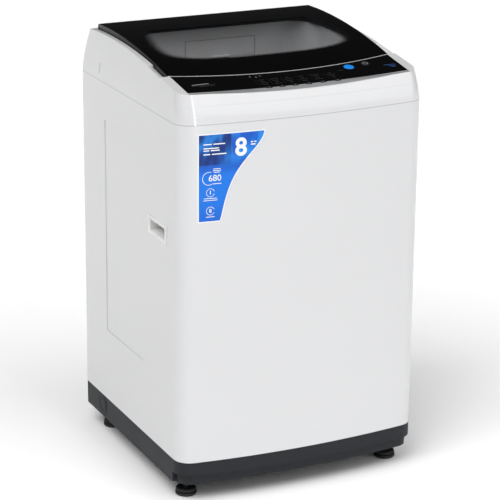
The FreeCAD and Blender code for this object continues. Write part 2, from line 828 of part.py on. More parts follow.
def make_button(x, y, oval):
    """Button cap with a retaining flange under the fascia and a stem to its switch."""
    cap = key_shape(oval, 0, -fascia_thickness - 2 * button_gap, button_proud)
    top_edges = [e for e in cap.Edges if abs(e.CenterOfMass.z - button_proud) < 0.01]
    cap = cap.makeFillet(button_proud / 2, top_edges)
    collar = key_shape(oval, collar_width, -fascia_thickness - button_gap - 1.0,
                       -fascia_thickness - button_gap)
    stem_end = -board_drop + board_thickness + button_travel + button_gap
    stem = rod(stem_radius, stem_end, -fascia_thickness)
    return on_panel(fuse([cap, collar, stem]), x, y)


def make_control_fascia():
    """Glossy plate with holes for the buttons and four posts that carry the board."""
    plate = fascia_block(0, fascia_thickness, 0)
    posts = [on_panel(rod(stem_radius, -board_drop, -fascia_thickness / 2), x, board_y())
             for x in post_places]
    fascia = fuse([plate] + posts)
    holes = [button_hole(x, y, oval, button_gap, fascia_thickness * 2)
             for _, x, y, oval in buttons()]
    return fascia.cut(Part.makeCompound(holes))


def board_y():
    """Middle of the control board, from the front."""
    return front + (fascia_front + lid_front) / 2


def board_window():
    """Opening in the top frame under the fascia, through which the board's posts pass."""
    half_x = width / 2 - fascia_side - 4 * frame_wall
    half_y = board_half + frame_wall
    window = box(-half_x, half_x, -half_y, half_y, -3 * board_drop, 1.0)
    return on_panel(window, 0, board_y())


def make_control_board():
    """Circuit board under the fascia with switches, relays and a transformer."""
    top = -board_drop
    under = top - board_thickness
    pieces = [box(*board_ends, -board_half, board_half, under, top)]
    x, length, height = transformer
    pieces.append(box(x, x + length, -16.0, 16.0, under - height, top))
    start, length, height = relay
    for x in (start + relay_step * i for i in range(3)):
        pieces.append(box(x, x + length, -12.0, 4.0, under - height, top))
    return on_panel(fuse(pieces), 0, board_y())


def trim_edges(z, grow):
    """Edges of the crescent in front of the fascia."""
    half = width / 2 - fascia_side
    inner = front_arc(front + fascia_front, front + fascia_corner, half, z)
    outer = front_arc(front + trim_front - grow, front + trim_corner - grow, half, z)
    return strip_plan(outer, inner, z)


def under_trim(drop):
    """Everything under the trim's slope, which falls away in front of the fascia."""
    y0 = front + fascia_corner
    fall = math.tan(math.radians(trim_slope))
    low, high = 2 * front, rear
    z0 = panel_z(front + fascia_front) - drop
    crown = front + fascia_front
    corners = [Vector(-width, y, z) for y, z in (
        (low, 0), (low, z0 + (low - crown) * fall), (crown, z0), (y0, panel_z(y0) - drop),
        (high, panel_z(high) - drop), (high, 0))]
    return Part.Face(Part.makePolygon(corners + corners[:1])).extrude(Vector(2 * width, 0, 0))


def trim_cut():
    """Seat of the front trim and of the seam trim in the top frame."""
    upright = prism(trim_edges(cabinet_top, 0), Vector(0, 0, 2 * frame_height))
    edge = prism(nose_edges(), Vector(0, 0, 2 * frame_height))
    return [upright.cut(under_trim(fascia_thickness)), edge.cut(under_trim(0)), seam_block(4.0, True)]


def nose_edges():
    """Edges of the strip in front of the trim, where the frame's top edge falls away."""
    half = width / 2
    inner = front_arc(front + trim_front, front + trim_corner, half - fascia_side, cabinet_top)
    outer = front_arc(front - front_bow, front, half - fascia_side, cabinet_top)
    return strip_plan(outer, inner, cabinet_top)


def make_panel_trim():
    """Silver crescent in front of the fascia, cut for the program buttons."""
    upright = prism(trim_edges(cabinet_top, 0), Vector(0, 0, 2 * frame_height))
    trim = upright.common(under_trim(0)).cut(under_trim(fascia_thickness))
    holes = []
    for _, x, y, oval in buttons():
        if oval:
            below = key_shape(oval, collar_width + button_gap, -4 * fascia_thickness,
                              -fascia_thickness)
            holes += [button_hole(x, y, oval, button_gap, 20.0), on_panel(below, x, y)]
    return trim.cut(Part.makeCompound(holes))


def seam_block(depth_down, seat=False):
    """Thin strip along the front of the lid."""
    z = cabinet_top
    near, far = lid_gap + seam_width, lid_gap
    ahead = front_arc(lid_crown - near, panel_line - near, lid_half, z)
    back = front_arc(lid_crown - far, panel_line - far, lid_half, z)
    upright = prism(strip_plan(ahead, back, z), Vector(0, 0, 2 * frame_height))
    top = under_panel(-2 * frame_height) if seat else under_panel(-0.4)
    return upright.common(top).cut(under_panel(depth_down))


# Lid
def window_block(grow):
    """Upright block of the lid's window: straight at the rear and rounded to the front."""
    z0 = cabinet_top
    back = rear - window_rear + grow
    crown = front + window_front - grow
    half = width / 2 - window_side + grow
    heel = width / 2 - window_rear_side + grow
    middle = crown + (back - crown) * 0.38
    right = [(half * 0.6, crown + 4.0), (half * 0.78, crown + 15.0), (half * 0.93, crown + 42.0),
             (half, middle), (half * 0.975, middle + 39.0)]
    points = [(-heel, back)] + [(-x, y) for x, y in reversed(right)] + [(0, crown)] + right
    points.append((heel, back))
    curve = Part.BSplineCurve()
    curve.interpolate([Vector(x, y, z0) for x, y in points])
    chord = Part.LineSegment(Vector(heel, back, z0), Vector(-heel, back, z0)).toShape()
    return prism([curve.toShape(), chord], Vector(0, 0, 2 * frame_height))


def lid_body(grow=0.0):
    """Whole lid between its top and bottom surfaces, round at the hinge."""
    flat = lid_plan(grow, cabinet_top, cabinet_top + 2 * frame_height, -hinge_radius)
    solid = flat.common(under_lid(0)).cut(under_lid(lid_thickness))
    heel = hinge_bar(hinge_radius, lid_half)
    return fuse([solid, heel])


def ear_relief():
    """Slots in the lid around the two hinge ears."""
    half = ear_width / 2 + ear_gap
    slots = []
    for x in ear_xs():
        eye = rod_along(Vector(1, 0, 0), ear_radius + ear_gap, 2 * half, (x - half, hinge_y, hinge_z))
        sweep = box(x - half, x + half, hinge_y - ear_radius - ear_gap, hinge_y + 2 * hinge_radius,
                    hinge_z - 2 * hinge_radius, hinge_z)
        behind = box(x - half, x + half, hinge_y, hinge_y + 2 * hinge_radius, hinge_z,
                     hinge_z + ear_radius + ear_gap + ear_sweep)
        low = box(x - half, x + half, hinge_y - 4 * hinge_radius, hinge_y + 2 * hinge_radius,
                  hinge_z - 2 * hinge_radius, hinge_z - ear_radius - ear_gap)
        slots += [eye, sweep, behind, low]
    return slots


def make_lid_glass():
    """Curved smoked glass over the whole lid."""
    flat = lid_plan(0, cabinet_top, cabinet_top + 2 * frame_height, -hinge_radius)
    return flat.common(under_lid(0)).cut(under_lid(glass_thickness))


def make_lid_frame():
    """Dark frame under the glass, with a window, hinge slots and a raised heel at the rear."""
    frame = lid_body().cut(make_lid_glass()).cut(window_block(0))
    cuts = ear_relief() + [hinge_bar(pin_radius, width)]
    return frame.cut(Part.makeCompound(cuts + under_scoop()))


def under_scoop():
    """Hollows under the lid's side edges, over the finger scoops of the top frame."""
    y1 = panel_line + 10.0
    nook = box(lid_half - 7.0, width, y1, y1 + 50.0, 0, lid_z(y1, lid_thickness) + 3.5)
    return both_sides(nook)


def make_lid_hinge_pins():
    """Steel pins of the lid, one through each ear."""
    return [rod_along(Vector(1, 0, 0), pin_radius, pin_length, (x - pin_length / 2, hinge_y, hinge_z))
            for x in ear_xs()]


def make_lid_bumpers():
    """Rubber pads under the lid that rest on its seat."""
    pads = []
    side, y_side = lid_half - bumper_inset, panel_line + bumper_inset
    for x, y in ((side, y_side), (0.0, lid_crown + 9.0), (-side, y_side)):
        post = rod(bumper_radius, cabinet_top, cabinet_top + frame_height, x, y)
        pads.append(post.common(under_lid(lid_thickness)).cut(under_lid(lid_seat - sheet_gap)))
    return pads


# Drawer, inlet and sensor
def drawer_range():
    """Front, back, bottom and top of the detergent drawer."""
    y0 = rear - mouth_rear
    z1 = cabinet_top + drawer_top
    return y0, y0 + drawer_depth, z1 - drawer_height, z1


def make_detergent_drawer():
    """Open tray with a front plate, a finger lip and a partition."""
    y0, y1, z0, z1 = drawer_range()
    half = drawer_width / 2
    face = box(-half, half, y0, y0 + frame_wall, z0, z1)
    tray_half = half - 2 * drawer_wall
    tray_top = z1 - 2 * drawer_wall
    tray = box(-tray_half, tray_half, y0 + frame_wall, y1, z0 + drawer_wall, tray_top)
    bays = [box(a, b, y0 + frame_wall + drawer_wall, y1 - drawer_wall, z0 + 2 * drawer_wall, z1)
            for a, b in ((drawer_wall - tray_half, tray_half / 3 - drawer_wall / 2),
                         (tray_half / 3 + drawer_wall / 2, tray_half - drawer_wall))]
    tray = tray.cut(Part.makeCompound(bays))
    lip = box(-lip_half, lip_half, y0 - lip_reach, y0, z0, z0 + 4.0)
    return fuse([face, tray, lip])


def make_drawer_housing():
    """Box behind the mouth's rear wall in which the drawer runs, with a water inlet."""
    y0, y1, z0, z1 = drawer_range()
    y0 += frame_wall
    half = drawer_width / 2 + drawer_gap
    inner = box(-half + 2 * drawer_wall, half - 2 * drawer_wall, y0 - 1, y1 + drawer_gap,
                z0 + drawer_wall - drawer_gap, z1 - drawer_wall)
    outer = box(-half + drawer_wall, half - drawer_wall, y0, y1 + drawer_gap + drawer_wall,
                z0 - drawer_gap, z1)
    x0 = half - 2 * drawer_wall
    z = cabinet_top + inlet_place[1]
    nozzle = rod_along(Vector(1, 0, 0), hose_radius - hose_wall, 12.0, (x0, hose_y(), z))
    bore = rod_along(Vector(1, 0, 0), hose_radius - 2 * hose_wall, 30.0, (x0 - 4, hose_y(), z))
    return fuse([outer.cut(inner), nozzle]).cut(bore)


def hose_y():
    """Place of the short inlet hose, from front to rear."""
    return rear - pocket_depth - frame_wall - 22.0


def inlet_hole():
    """Hole in the recess's floor for the inlet spigot."""
    return rod_along(Vector(0, 1, 0), inlet_radius + sheet_gap, 6 * frame_wall,
                     (inlet_place[0], rear - pocket_depth - 4 * frame_wall,
                      cabinet_top + inlet_place[1]))


def make_inlet_valve():
    """Solenoid valve with a spigot for the supply hose and a nozzle towards the drawer."""
    x, z = inlet_place[0], cabinet_top + inlet_place[1]
    wall_y = rear - pocket_depth - frame_wall
    body = box(x - 20.0, x + 16.0, wall_y - 38.0, wall_y - 4.0, z - 14.0, z + 14.0)
    collar = rod_along(Vector(0, 1, 0), inlet_radius + 5.0, 4.0, (x, wall_y - 4.0, z))
    spigot = rod_along(Vector(0, 1, 0), inlet_radius, pocket_depth + frame_wall - 2.0,
                       (x, wall_y, z))
    shoulder = rod_along(Vector(0, 1, 0), inlet_radius + shoulder_height, frame_wall,
                         (x, wall_y, z))
    coil = rod(12.0, z - 36.0, z - 14.0, x - 2.0, wall_y - 21.0)
    nozzle = rod_along(Vector(-1, 0, 0), hose_radius - hose_wall, 12.0, (x - 20.0, hose_y(), z))
    bore = rod_along(Vector(0, 1, 0), inlet_bore, 60.0, (x, wall_y - 18.0, z))
    return fuse([body, collar, spigot, shoulder, coil, nozzle]).cut(bore)


def make_inlet_hose():
    """Short rubber hose between the valve and the drawer housing."""
    start = drawer_width / 2 + drawer_gap - drawer_wall + 1.0
    end = inlet_place[0] - 21.0
    place = (start, hose_y(), cabinet_top + inlet_place[1])
    outer = rod_along(Vector(1, 0, 0), hose_radius, end - start, place)
    return outer.cut(rod_along(Vector(1, 0, 0), hose_radius - hose_wall, end - start, place))


def make_pressure_sensor():
    """Water level sensor: a round can with a nipple underneath."""
    x, y = sensor_place()
    top = cabinet_top + boss_drop
    low = top - sensor_height
    can = turned([(0, low), (sensor_radius, low), (sensor_radius, top - 12),
                  (sensor_radius - 7, top - 10), (sensor_radius - 7, top), (0, top)], x, y)
    return fuse([can, rod(nipple_radius, low - nipple_length, low + 1.0, x, y)])


def make_pressure_tube():
    """Soft tube from the level sensor down to the tub's air chamber."""
    x, y = sensor_place()
    low, high = tub_floor + chamber_top + 10.0, cabinet_top + well_gap + 8.0
    return tube(level_tube_radius, nipple_radius, low, high, x, y)


# Tub
def make_outer_tub():
    """Plastic tub with suspension lugs, an air chamber and a drain port."""
    inner = tub_radius - tub_wall
    floor_top = tub_floor + tub_wall + 1.0
    shell = turned([(centre_radius, tub_floor), (tub_radius - 12, tub_floor), (tub_radius, tub_floor + 12),
                    (tub_radius, cover_bottom), (inner, cover_bottom), (inner, floor_top + 12),
                    (inner - 12, floor_top), (centre_radius, floor_top)])
    pieces = [shell]
    for x, y in rod_places():
        pieces += lug(x, y)
    angle = math.degrees(math.atan2(*reversed(sensor_place())))
    chamber = box(tub_radius - 1.0, tub_radius + sensor_reach + 9.0, -chamber_half, chamber_half,
                  tub_floor + chamber_low, tub_floor + chamber_top)
    chamber.rotate(Vector(), Vector(0, 0, 1), angle)
    x, y = sensor_place()
    spout = tub_floor + chamber_top - 1.0
    pieces += [chamber, rod(nipple_radius - sheet_gap, spout, spout + 23.0, x, y)]
    px, py = pump_place
    pieces.append(rod(neck_radius, tub_floor - port_length, tub_floor + 1.0, px, py))
    tub = fuse(pieces)
    port = rod(neck_radius - 2.5, tub_floor - 2 * port_length, floor_top + 1.0, px, py)
    return tub.cut(port)


def rod_places():
    """Places of the four suspension rods."""
    x, y = width / 2 - rod_inset, depth / 2 - rod_inset
    return [(sx * x, sy * y) for sx in (-1, 1) for sy in (-1, 1)]


def lug(x, y):
    """Arm and sleeve on the tub for one suspension rod."""
    low = tub_floor + lug_rise
    angle = math.degrees(math.atan2(y, x))
    reach = math.hypot(x, y)
    arm = box(tub_radius - 1.5, reach, -9.0, 9.0, low, low + lug_height)
    arm.rotate(Vector(), Vector(0, 0, 1), angle)
    arm = arm.cut(rod(tub_radius - tub_wall / 2, 0, cabinet_top))
    arm = fuse([arm, rod(lug_radius, low, low + lug_height, x, y)])
    return [arm.cut(rod(rod_radius + sheet_gap, 0, cabinet_top, x, y))]


def make_tub_cover():
    """Ring over the tub that guides water into the basket."""
    inner = opening_radius + mouth_gap
    return turned([(tub_radius + 3, cover_bottom), (tub_radius + 3, cover_bottom + 4),
                   (tub_radius - 6, cover_top - 4), (inner + 8, cover_top), (inner, cover_top),
                   (inner, cover_top - 10), (inner + 3, cover_top - 10), (inner + 3, cover_top - 3),
                   (tub_radius - 8, cover_top - 7), (tub_radius - tub_wall, cover_bottom)])


def make_tub_mount_plate():
    """Steel plate under the tub that carries the gearbox and the motor."""
    low = tub_floor - plate_thickness
    disc = rod(gearbox_radius + 52.0, low, tub_floor)
    wing = box(-motor_radius, motor_radius, 0, motor_offset + motor_radius - 8.0, low, tub_floor)
    plate = fuse([disc, wing])
    return plate.cut(rod(centre_radius, low, tub_floor))


def make_gearbox():
    """Gearbox with clutch: a flanged drum with bearings for both shafts."""
    top = tub_floor - plate_thickness
    low = top - gearbox_height
    profile = [(0, low), (gearbox_radius - 10, low), (gearbox_radius, low + 10),
               (gearbox_radius, top - 8), (gearbox_radius + 18, top - 8),
               (gearbox_radius + 18, top), (24, top), (24, tub_floor + 16), (0, tub_floor + 16)]
    box_body = turned(profile)
    middle = low + gearbox_height * 0.45
    upper = rod(outer_shaft + running, middle, tub_floor + 20)
    lower = rod(inner_shaft + running, low - 1, middle - 12)
    return box_body.cut(upper).cut(lower)


def make_drive_motor():
    """Induction motor with a finned drum, hung from the mount plate."""
    top = tub_floor - plate_thickness
    low = top - motor_height
    drum = turned([(0, low), (motor_radius - 12, low), (motor_radius, low + 12),
                   (motor_radius, top - 12), (motor_radius - 12, top), (0, top)], 0, motor_offset)
    slots = []
    for i in range(motor_slots):
        slot = box(motor_radius - 5.0, motor_radius + 1.0, -4.0, 4.0, low + 20.0, top - 20.0)
        slot.rotate(Vector(), Vector(0, 0, 1), 360.0 / motor_slots * i)
        slot.translate(Vector(0, motor_offset, 0))
        slots.append(slot)
    boss = rod(16.0, low - 4.0, low, 0, motor_offset)
    motor = fuse([drum, boss]).cut(Part.makeCompound(slots))
    return motor.cut(rod(motor_shaft + running, low - 5.0, low + 40.0, 0, motor_offset))


def pulley_top():
    """Top of both pulleys, under the gearbox."""
    return tub_floor - plate_thickness - gearbox_height - 5.0


def pulley_profile(radius, shaft, shaft_top):
    """Profile of a grooved pulley with its shaft."""
    top = pulley_top()
    low = top - pulley_height
    groove = belt_width / 2 + button_gap
    middle = (top + low) / 2
    depth_in = radius - belt_thickness
    return [(0, low - 6), (shaft + 6, low - 6), (shaft + 6, low + 4), (depth_in - 8, low + 4),
            (depth_in - 8, low), (radius, low), (radius, middle - groove),
            (depth_in, middle - groove), (depth_in, middle + groove), (radius, middle + groove),
            (radius, top), (depth_in - 8, top), (depth_in - 8, low + 10), (shaft + 6, low + 10),
            (shaft + 6, top), (shaft, top), (shaft, shaft_top), (0, shaft_top)]


def make_drive_pulley():
    """Large belt pulley on the gearbox's input shaft."""
    low = tub_floor - plate_thickness - gearbox_height
    return turned(pulley_profile(drive_radius, inner_shaft, low + gearbox_height * 0.45 - 13.0))


def make_motor_pulley():
    """Small belt pulley on the motor's shaft."""
    top = pulley_top()
    low = top - pulley_height
    groove = belt_width / 2 + button_gap
    middle = (top + low) / 2
    r, inner = motor_pulley_radius, motor_pulley_radius - belt_thickness
    end = tub_floor - plate_thickness - motor_height + 39.0
    return turned([(0, low), (r, low), (r, middle - groove), (inner, middle - groove),
                   (inner, middle + groove), (r, middle + groove), (r, top),
                   (motor_shaft + 3, top), (motor_shaft, top + 2), (motor_shaft, end), (0, end)],
                  0, motor_offset)


def belt_loop(r1, r2, z0, z1):
    """Block inside a taut belt line round two pulleys."""
    lean_angle = math.asin((r1 - r2) / motor_offset)
    cos_a, sin_a = math.cos(lean_angle), math.sin(lean_angle)
    a, b = Vector(r1 * cos_a, r1 * sin_a, z0), Vector(-r1 * cos_a, r1 * sin_a, z0)
    c = Vector(r2 * cos_a, motor_offset + r2 * sin_a, z0)
    d = Vector(-c.x, c.y, z0)
    edges = [Part.Arc(a, Vector(0, -r1, z0), b).toShape(), Part.LineSegment(b, d).toShape(),
             Part.Arc(d, Vector(0, motor_offset + r2, z0), c).toShape(),
             Part.LineSegment(c, a).toShape()]
    return prism(edges, Vector(0, 0, z1 - z0))


def make_drive_belt():
    """Flat belt round both pulleys."""
    middle = pulley_top() - pulley_height / 2
    z0, z1 = middle - belt_width / 2, middle + belt_width / 2
    inner_gap = button_gap - belt_thickness
    inside = belt_loop(drive_radius + inner_gap, motor_pulley_radius + inner_gap, z0, z1)
    outside = belt_loop(drive_radius, motor_pulley_radius, z0, z1)
    return outside.cut(inside)


# Basket and pulsator
def make_wash_basket():
    """Steel basket: a drum with a rolled floor and three beads round its wall."""
    r, t = basket_radius, basket_wall
    z0, z1 = basket_floor, basket_top - ring_height / 2
    outer = [(30.0, z0), (r - 18, z0), (r - 5, z0 + 5), (r, z0 + 18), (r, z1)]
    inner = [(r - t, z1), (r - t, z0 + 18), (r - 5.6, z0 + 5.8), (r - 18, z0 + t), (30.0, z0 + t)]
    return turned(outer + inner)


def make_balance_ring():
    """Hollow plastic ring that closes the top of the basket."""
    r = basket_radius - basket_wall
    top, low = basket_top, basket_top - ring_height
    lip = top - ring_height / 2
    return turned([(opening_radius, low + 4), (opening_radius + 4, low), (r, low), (r, lip),
                   (r + basket_wall + 2, lip), (r + basket_wall + 2, top - 4), (r - 4, top),
                   (opening_radius + 6, top), (opening_radius, top - 6)])


def make_basket_hub():
    """Aluminium hub under the basket with the hollow outer shaft."""
    gear_low = tub_floor - plate_thickness - gearbox_height * 0.55
    top = basket_floor
    profile = [(inner_shaft + running, gear_low + 1), (outer_shaft, gear_low + 1),
               (outer_shaft, top - hub_height), (30, top - hub_height),
               (hub_radius, top - hub_height / 2), (hub_radius, top), (30, top),
               (30, top + 4), (inner_shaft + running, top + 4)]
    return turned(profile)


def make_lint_filter():
    """Slim lint cassette on the inside of the basket's wall."""
    r = basket_radius - basket_wall
    z0, z1 = basket_floor + filter_rise, basket_floor + filter_rise + filter_height
    body = box(-filter_half, filter_half, r - filter_depth, r, z0, z1).common(rod(r, z0, z1))
    half = filter_half - 8.0
    slots = []
    for low in (z0 + slot_pitch * (i + 1) for i in range(filter_slots)):
        slots.append(box(-half, half, 0, r - filter_depth + 4.0, low, low + 5.0))
    return body.cut(Part.makeCompound(slots))


def make_pulsator():
    """Wide dished disc with raised vanes and a central dome."""
    r = basket_radius - pulsator_gap
    z0 = basket_floor + pulsator_rise
    dish = turned([(0, z0), (r - 8, z0), (r, z0 + 5), (r, z0 + 8), (r - 9, z0 + 7), (70, z0 + 9),
                   (44, z0 + pulsator_height - 4), (30, z0 + pulsator_height),
                   (0, z0 + pulsator_height)])
    vanes = []
    for i in range(vane_count):
        profile = [Vector(30, 0, z0 + 4), Vector(r - 14, 0, z0 + 4), Vector(r - 30, 0, z0 + 18),
                   Vector(60, 0, z0 + pulsator_height - 2), Vector(30, 0, z0 + pulsator_height - 2)]
        vane = Part.Face(Part.makePolygon(profile + profile[:1])).extrude(Vector(0, vane_width, 0))
        vane.translate(Vector(0, -vane_width / 2, 0))
        vane.rotate(Vector(), Vector(0, 0, 1), 360.0 / vane_count * i + 45.0)
        vanes.append(vane)
    body = fuse([dish] + vanes)
    socket = rod(inner_shaft, z0 - 1, z0 + socket_depth)
    counter = rod(13.0, z0 + pulsator_height - 8, z0 + pulsator_height + 1)
    return body.cut(socket).cut(counter).cut(rod(4.0, z0, z0 + pulsator_height))


def make_pulsator_screw():
    """Hexagon screw that holds the pulsator on its shaft."""
    z0 = basket_floor + pulsator_rise + pulsator_height - 8
    reach = 13.0 / math.sqrt(3)
    corners = [Vector(reach * math.cos(math.radians(60 * i)), reach * math.sin(math.radians(60 * i)),
                      z0) for i in range(6)]
    head = Part.Face(Part.makePolygon(corners + corners[:1])).extrude(Vector(0, 0, 5.0))
    return fuse([head, rod(4.0, basket_floor + pulsator_rise + socket_depth, z0)])


def make_pulsator_shaft():
    """Inner shaft from the gearbox to the pulsator."""
    gear_low = tub_floor - plate_thickness - gearbox_height * 0.55
    return rod(inner_shaft, gear_low + 1, basket_floor + pulsator_rise + socket_depth)


# Suspension
def bracket_top():
    """Height of the corner brackets' upper face."""
    return cabinet_top - rod_seat_drop


def make_suspension_brackets():
    """Sheet brackets across the upper corners, each with a seat for a rod's ball."""
    top = bracket_top()
    room = block(top - 40.0, top, sheet, sheet, rear_inset + 2 * sheet)
    brackets = []
    for x, y in rod_places():
        angle = math.degrees(math.atan2(y, x))
        reach = math.hypot(x, y)
        plate = box(reach - 27.0, reach - 27.0 + bracket_length, -bracket_width / 2,
                    bracket_width / 2, top - bracket_sheet, top)
        web = box(reach + 22.0, reach + 105.0, -bracket_width / 2, bracket_width / 2, top - 24.0,
                  top)
        hollow = box(reach + 22.0, reach + 105.0, bracket_sheet - bracket_width / 2,
                     bracket_width / 2 - bracket_sheet, top - 24.0, top - bracket_sheet)
        piece = fuse([plate, web]).cut(hollow)
        piece.rotate(Vector(), Vector(0, 0, 1), angle)
        piece = piece.common(room).cut(rod(rod_ball - 2.0, top - 30, top + 1, x, y))
        brackets.append(max(piece.Solids, key=lambda solid: solid.Volume))
    return brackets


def make_suspension_rods():
    """Steel rods with a ball at the top and a spring cap at the bottom."""
    ball_z = bracket_top() + math.sqrt(rod_ball ** 2 - (rod_ball - 2.0) ** 2)
    cap_top = tub_floor + lug_rise - spring_length
    rods = []
    for x, y in rod_places():
        ball = Part.makeSphere(rod_ball, Vector(x, y, ball_z))
        shank = rod(rod_radius, cap_top - 8, ball_z, x, y)
        cap = turned([(0, cap_top - 6), (8, cap_top - 6), (spring_radius + 3, cap_top - 3),
                      (spring_radius + 3, cap_top), (0, cap_top)], x, y)
        rods.append(fuse([ball, shank, cap]))
    return rods


def make_suspension_springs():
    """Closed folded sleeves in the place of the coil springs, one under each lug."""
    z0 = tub_floor + lug_rise - spring_length
    pitch = (spring_length - sheet_gap) / spring_turns
    springs = []
    for x, y in rod_places():
        outer, inner = [], []
        for i in range(spring_turns):
            low = z0 + i * pitch
            outer += [(spring_radius - 1.2, low), (spring_radius, low + pitch / 2)]
            inner += [(spring_radius - spring_wire - 1.2, low),
                      (spring_radius - spring_wire, low + pitch / 2)]
        end = z0 + spring_turns * pitch
        outer.append((spring_radius - 1.2, end))
        inner.append((spring_radius - spring_wire - 1.2, end))
        springs.append(turned(outer + list(reversed(inner)), x, y))
    return springs


# Drain
def pump_levels():
    """Heights of the pump: motor's foot, chamber's floor, chamber's roof and neck's top."""
    foot = base_skirt + base_wall
    floor_z = foot + pump_motor
    return foot, floor_z, floor_z + pump_height, floor_z + pump_height + neck_height


def make_drain_pump():
    """Pump on the base's shelf: a motor block under a round chamber with two necks."""
    x, y = pump_place
    foot, floor_z, roof, neck = pump_levels()
    half = pump_motor_half
    motor = box(x - half, x + half, y - half, y + half, foot, floor_z)
    chamber = rod(pump_radius, floor_z, roof, x, y)
    stack = rod(neck_radius, roof - 2.0, neck, x, y)
    outlet = rod_along(Vector(0, 1, 0), drain_radius - drain_wall, 56.0, (x, y, outlet_z))
    body = fuse([motor, chamber, stack, outlet])
    hollow = fuse([rod(pump_radius - 3.0, floor_z + 3.0, roof - 3.0, x, y),
                   rod(neck_radius - 2.5, roof - 4.0, neck + 1.0, x, y),
                   rod_along(Vector(0, 1, 0), drain_radius - 2 * drain_wall, 60.0,
                             (x, y, outlet_z))])
    return body.cut(hollow).cut(rod(pump_shaft + running, floor_z - 20.0, floor_z + 4.0, x, y))


def make_pump_impeller():
    """Impeller with straight blades on a short shaft."""
    x, y = pump_place
    _, floor_z, _, _ = pump_levels()
    shaft = rod(pump_shaft, floor_z - 19.0, floor_z + 14.0, x, y)
    hub = rod(8.0, floor_z + 3.3, floor_z + 14.0, x, y)
    blades = []
    for i in range(pump_blades):
        blade = box(x, x + 24.0, y - 1.0, y + 1.0, floor_z + 3.3, floor_z + 20.0)
        blade.rotate(Vector(x, y, 0), Vector(0, 0, 1), 360.0 / pump_blades * i)
        blades.append(blade)
    return fuse([shaft, hub] + blades)


def make_drain_bellows():
    """Folded rubber sleeve from the tub's port to the pump's neck."""
    x, y = pump_place
    _, _, roof, neck = pump_levels()
    z0, z1 = roof + 4.0, tub_floor - 4.0
    fold_low, fold_high = neck + 3.0, tub_floor - port_length - 3.0
    pitch = (fold_high - fold_low) / bellows_folds
    snug = neck_radius
    loose = neck_radius + sheet_gap
    outer = [(snug + bellows_wall + 1, z0), (snug + bellows_wall + 1, fold_low)]
    inner = [(snug, z0), (snug, fold_low)]
    for i in range(bellows_folds):
        low = fold_low + i * pitch
        outer += [(snug + 7, low + pitch / 2), (snug + 3, low + pitch)]
        inner += [(snug + 7 - bellows_wall * 1.4, low + pitch / 2),
                  (snug + 3 - bellows_wall * 1.4, low + pitch)]
    outer += [(loose + bellows_wall + 1, fold_high + 3), (loose + bellows_wall + 1, z1)]
    inner += [(loose, fold_high + 3), (loose, z1)]
    return turned(outer + list(reversed(inner)), x, y)


def make_drain_hose():
    """Straight inner drain hose from the pump to the rear outlet."""
    start = (pump_place[0], pump_place[1] + pump_radius + 4.0, outlet_z)
    length = panel_y - outlet_length - sheet - 4.0 - start[1]
    outer = rod_along(Vector(0, 1, 0), drain_radius, length, start)
    return outer.cut(rod_along(Vector(0, 1, 0), drain_radius - drain_wall, length, start))


def make_drain_outlet():
    """Spigot in the rear recess for the drain hose, with a flange behind the panel."""
    x = pump_place[0]
    wall_y = panel_y - outlet_length - sheet
    spigot = rod_along(Vector(0, 1, 0), drain_radius, outlet_length, (x, wall_y, outlet_z))
    shoulder = rod_along(Vector(0, 1, 0), drain_radius + shoulder_height, sheet,
                         (x, wall_y, outlet_z))
    collar = rod_along(Vector(0, 1, 0), drain_radius + 5.0, 4.0, (x, wall_y - 4.0, outlet_z))
    tail = rod_along(Vector(0, 1, 0), drain_radius - drain_wall, 16.0, (x, wall_y - 20.0, outlet_z))
    bore = rod_along(Vector(0, 1, 0), drain_radius - 2 * drain_wall, 60.0,
                     (x, wall_y - 30.0, outlet_z))
    return fuse([spigot, shoulder, collar, tail]).cut(bore)


def make_cord_gland():
    """Plastic gland for the mains cord in the rear panel."""
    x, z = gland_place[0], base_top + gland_place[1]
    bush = rod_along(Vector(0, 1, 0), gland_radius, 16.0, (x, panel_y - 14.0, z))
    collar = rod_along(Vector(0, 1, 0), gland_radius + 3.0, 3.0, (x, panel_y - sheet - 3.0, z))
    return fuse([bush, collar]).cut(rod_along(Vector(0, 1, 0), cord_radius, 30.0,
                                              (x, panel_y - 20.0, z)))


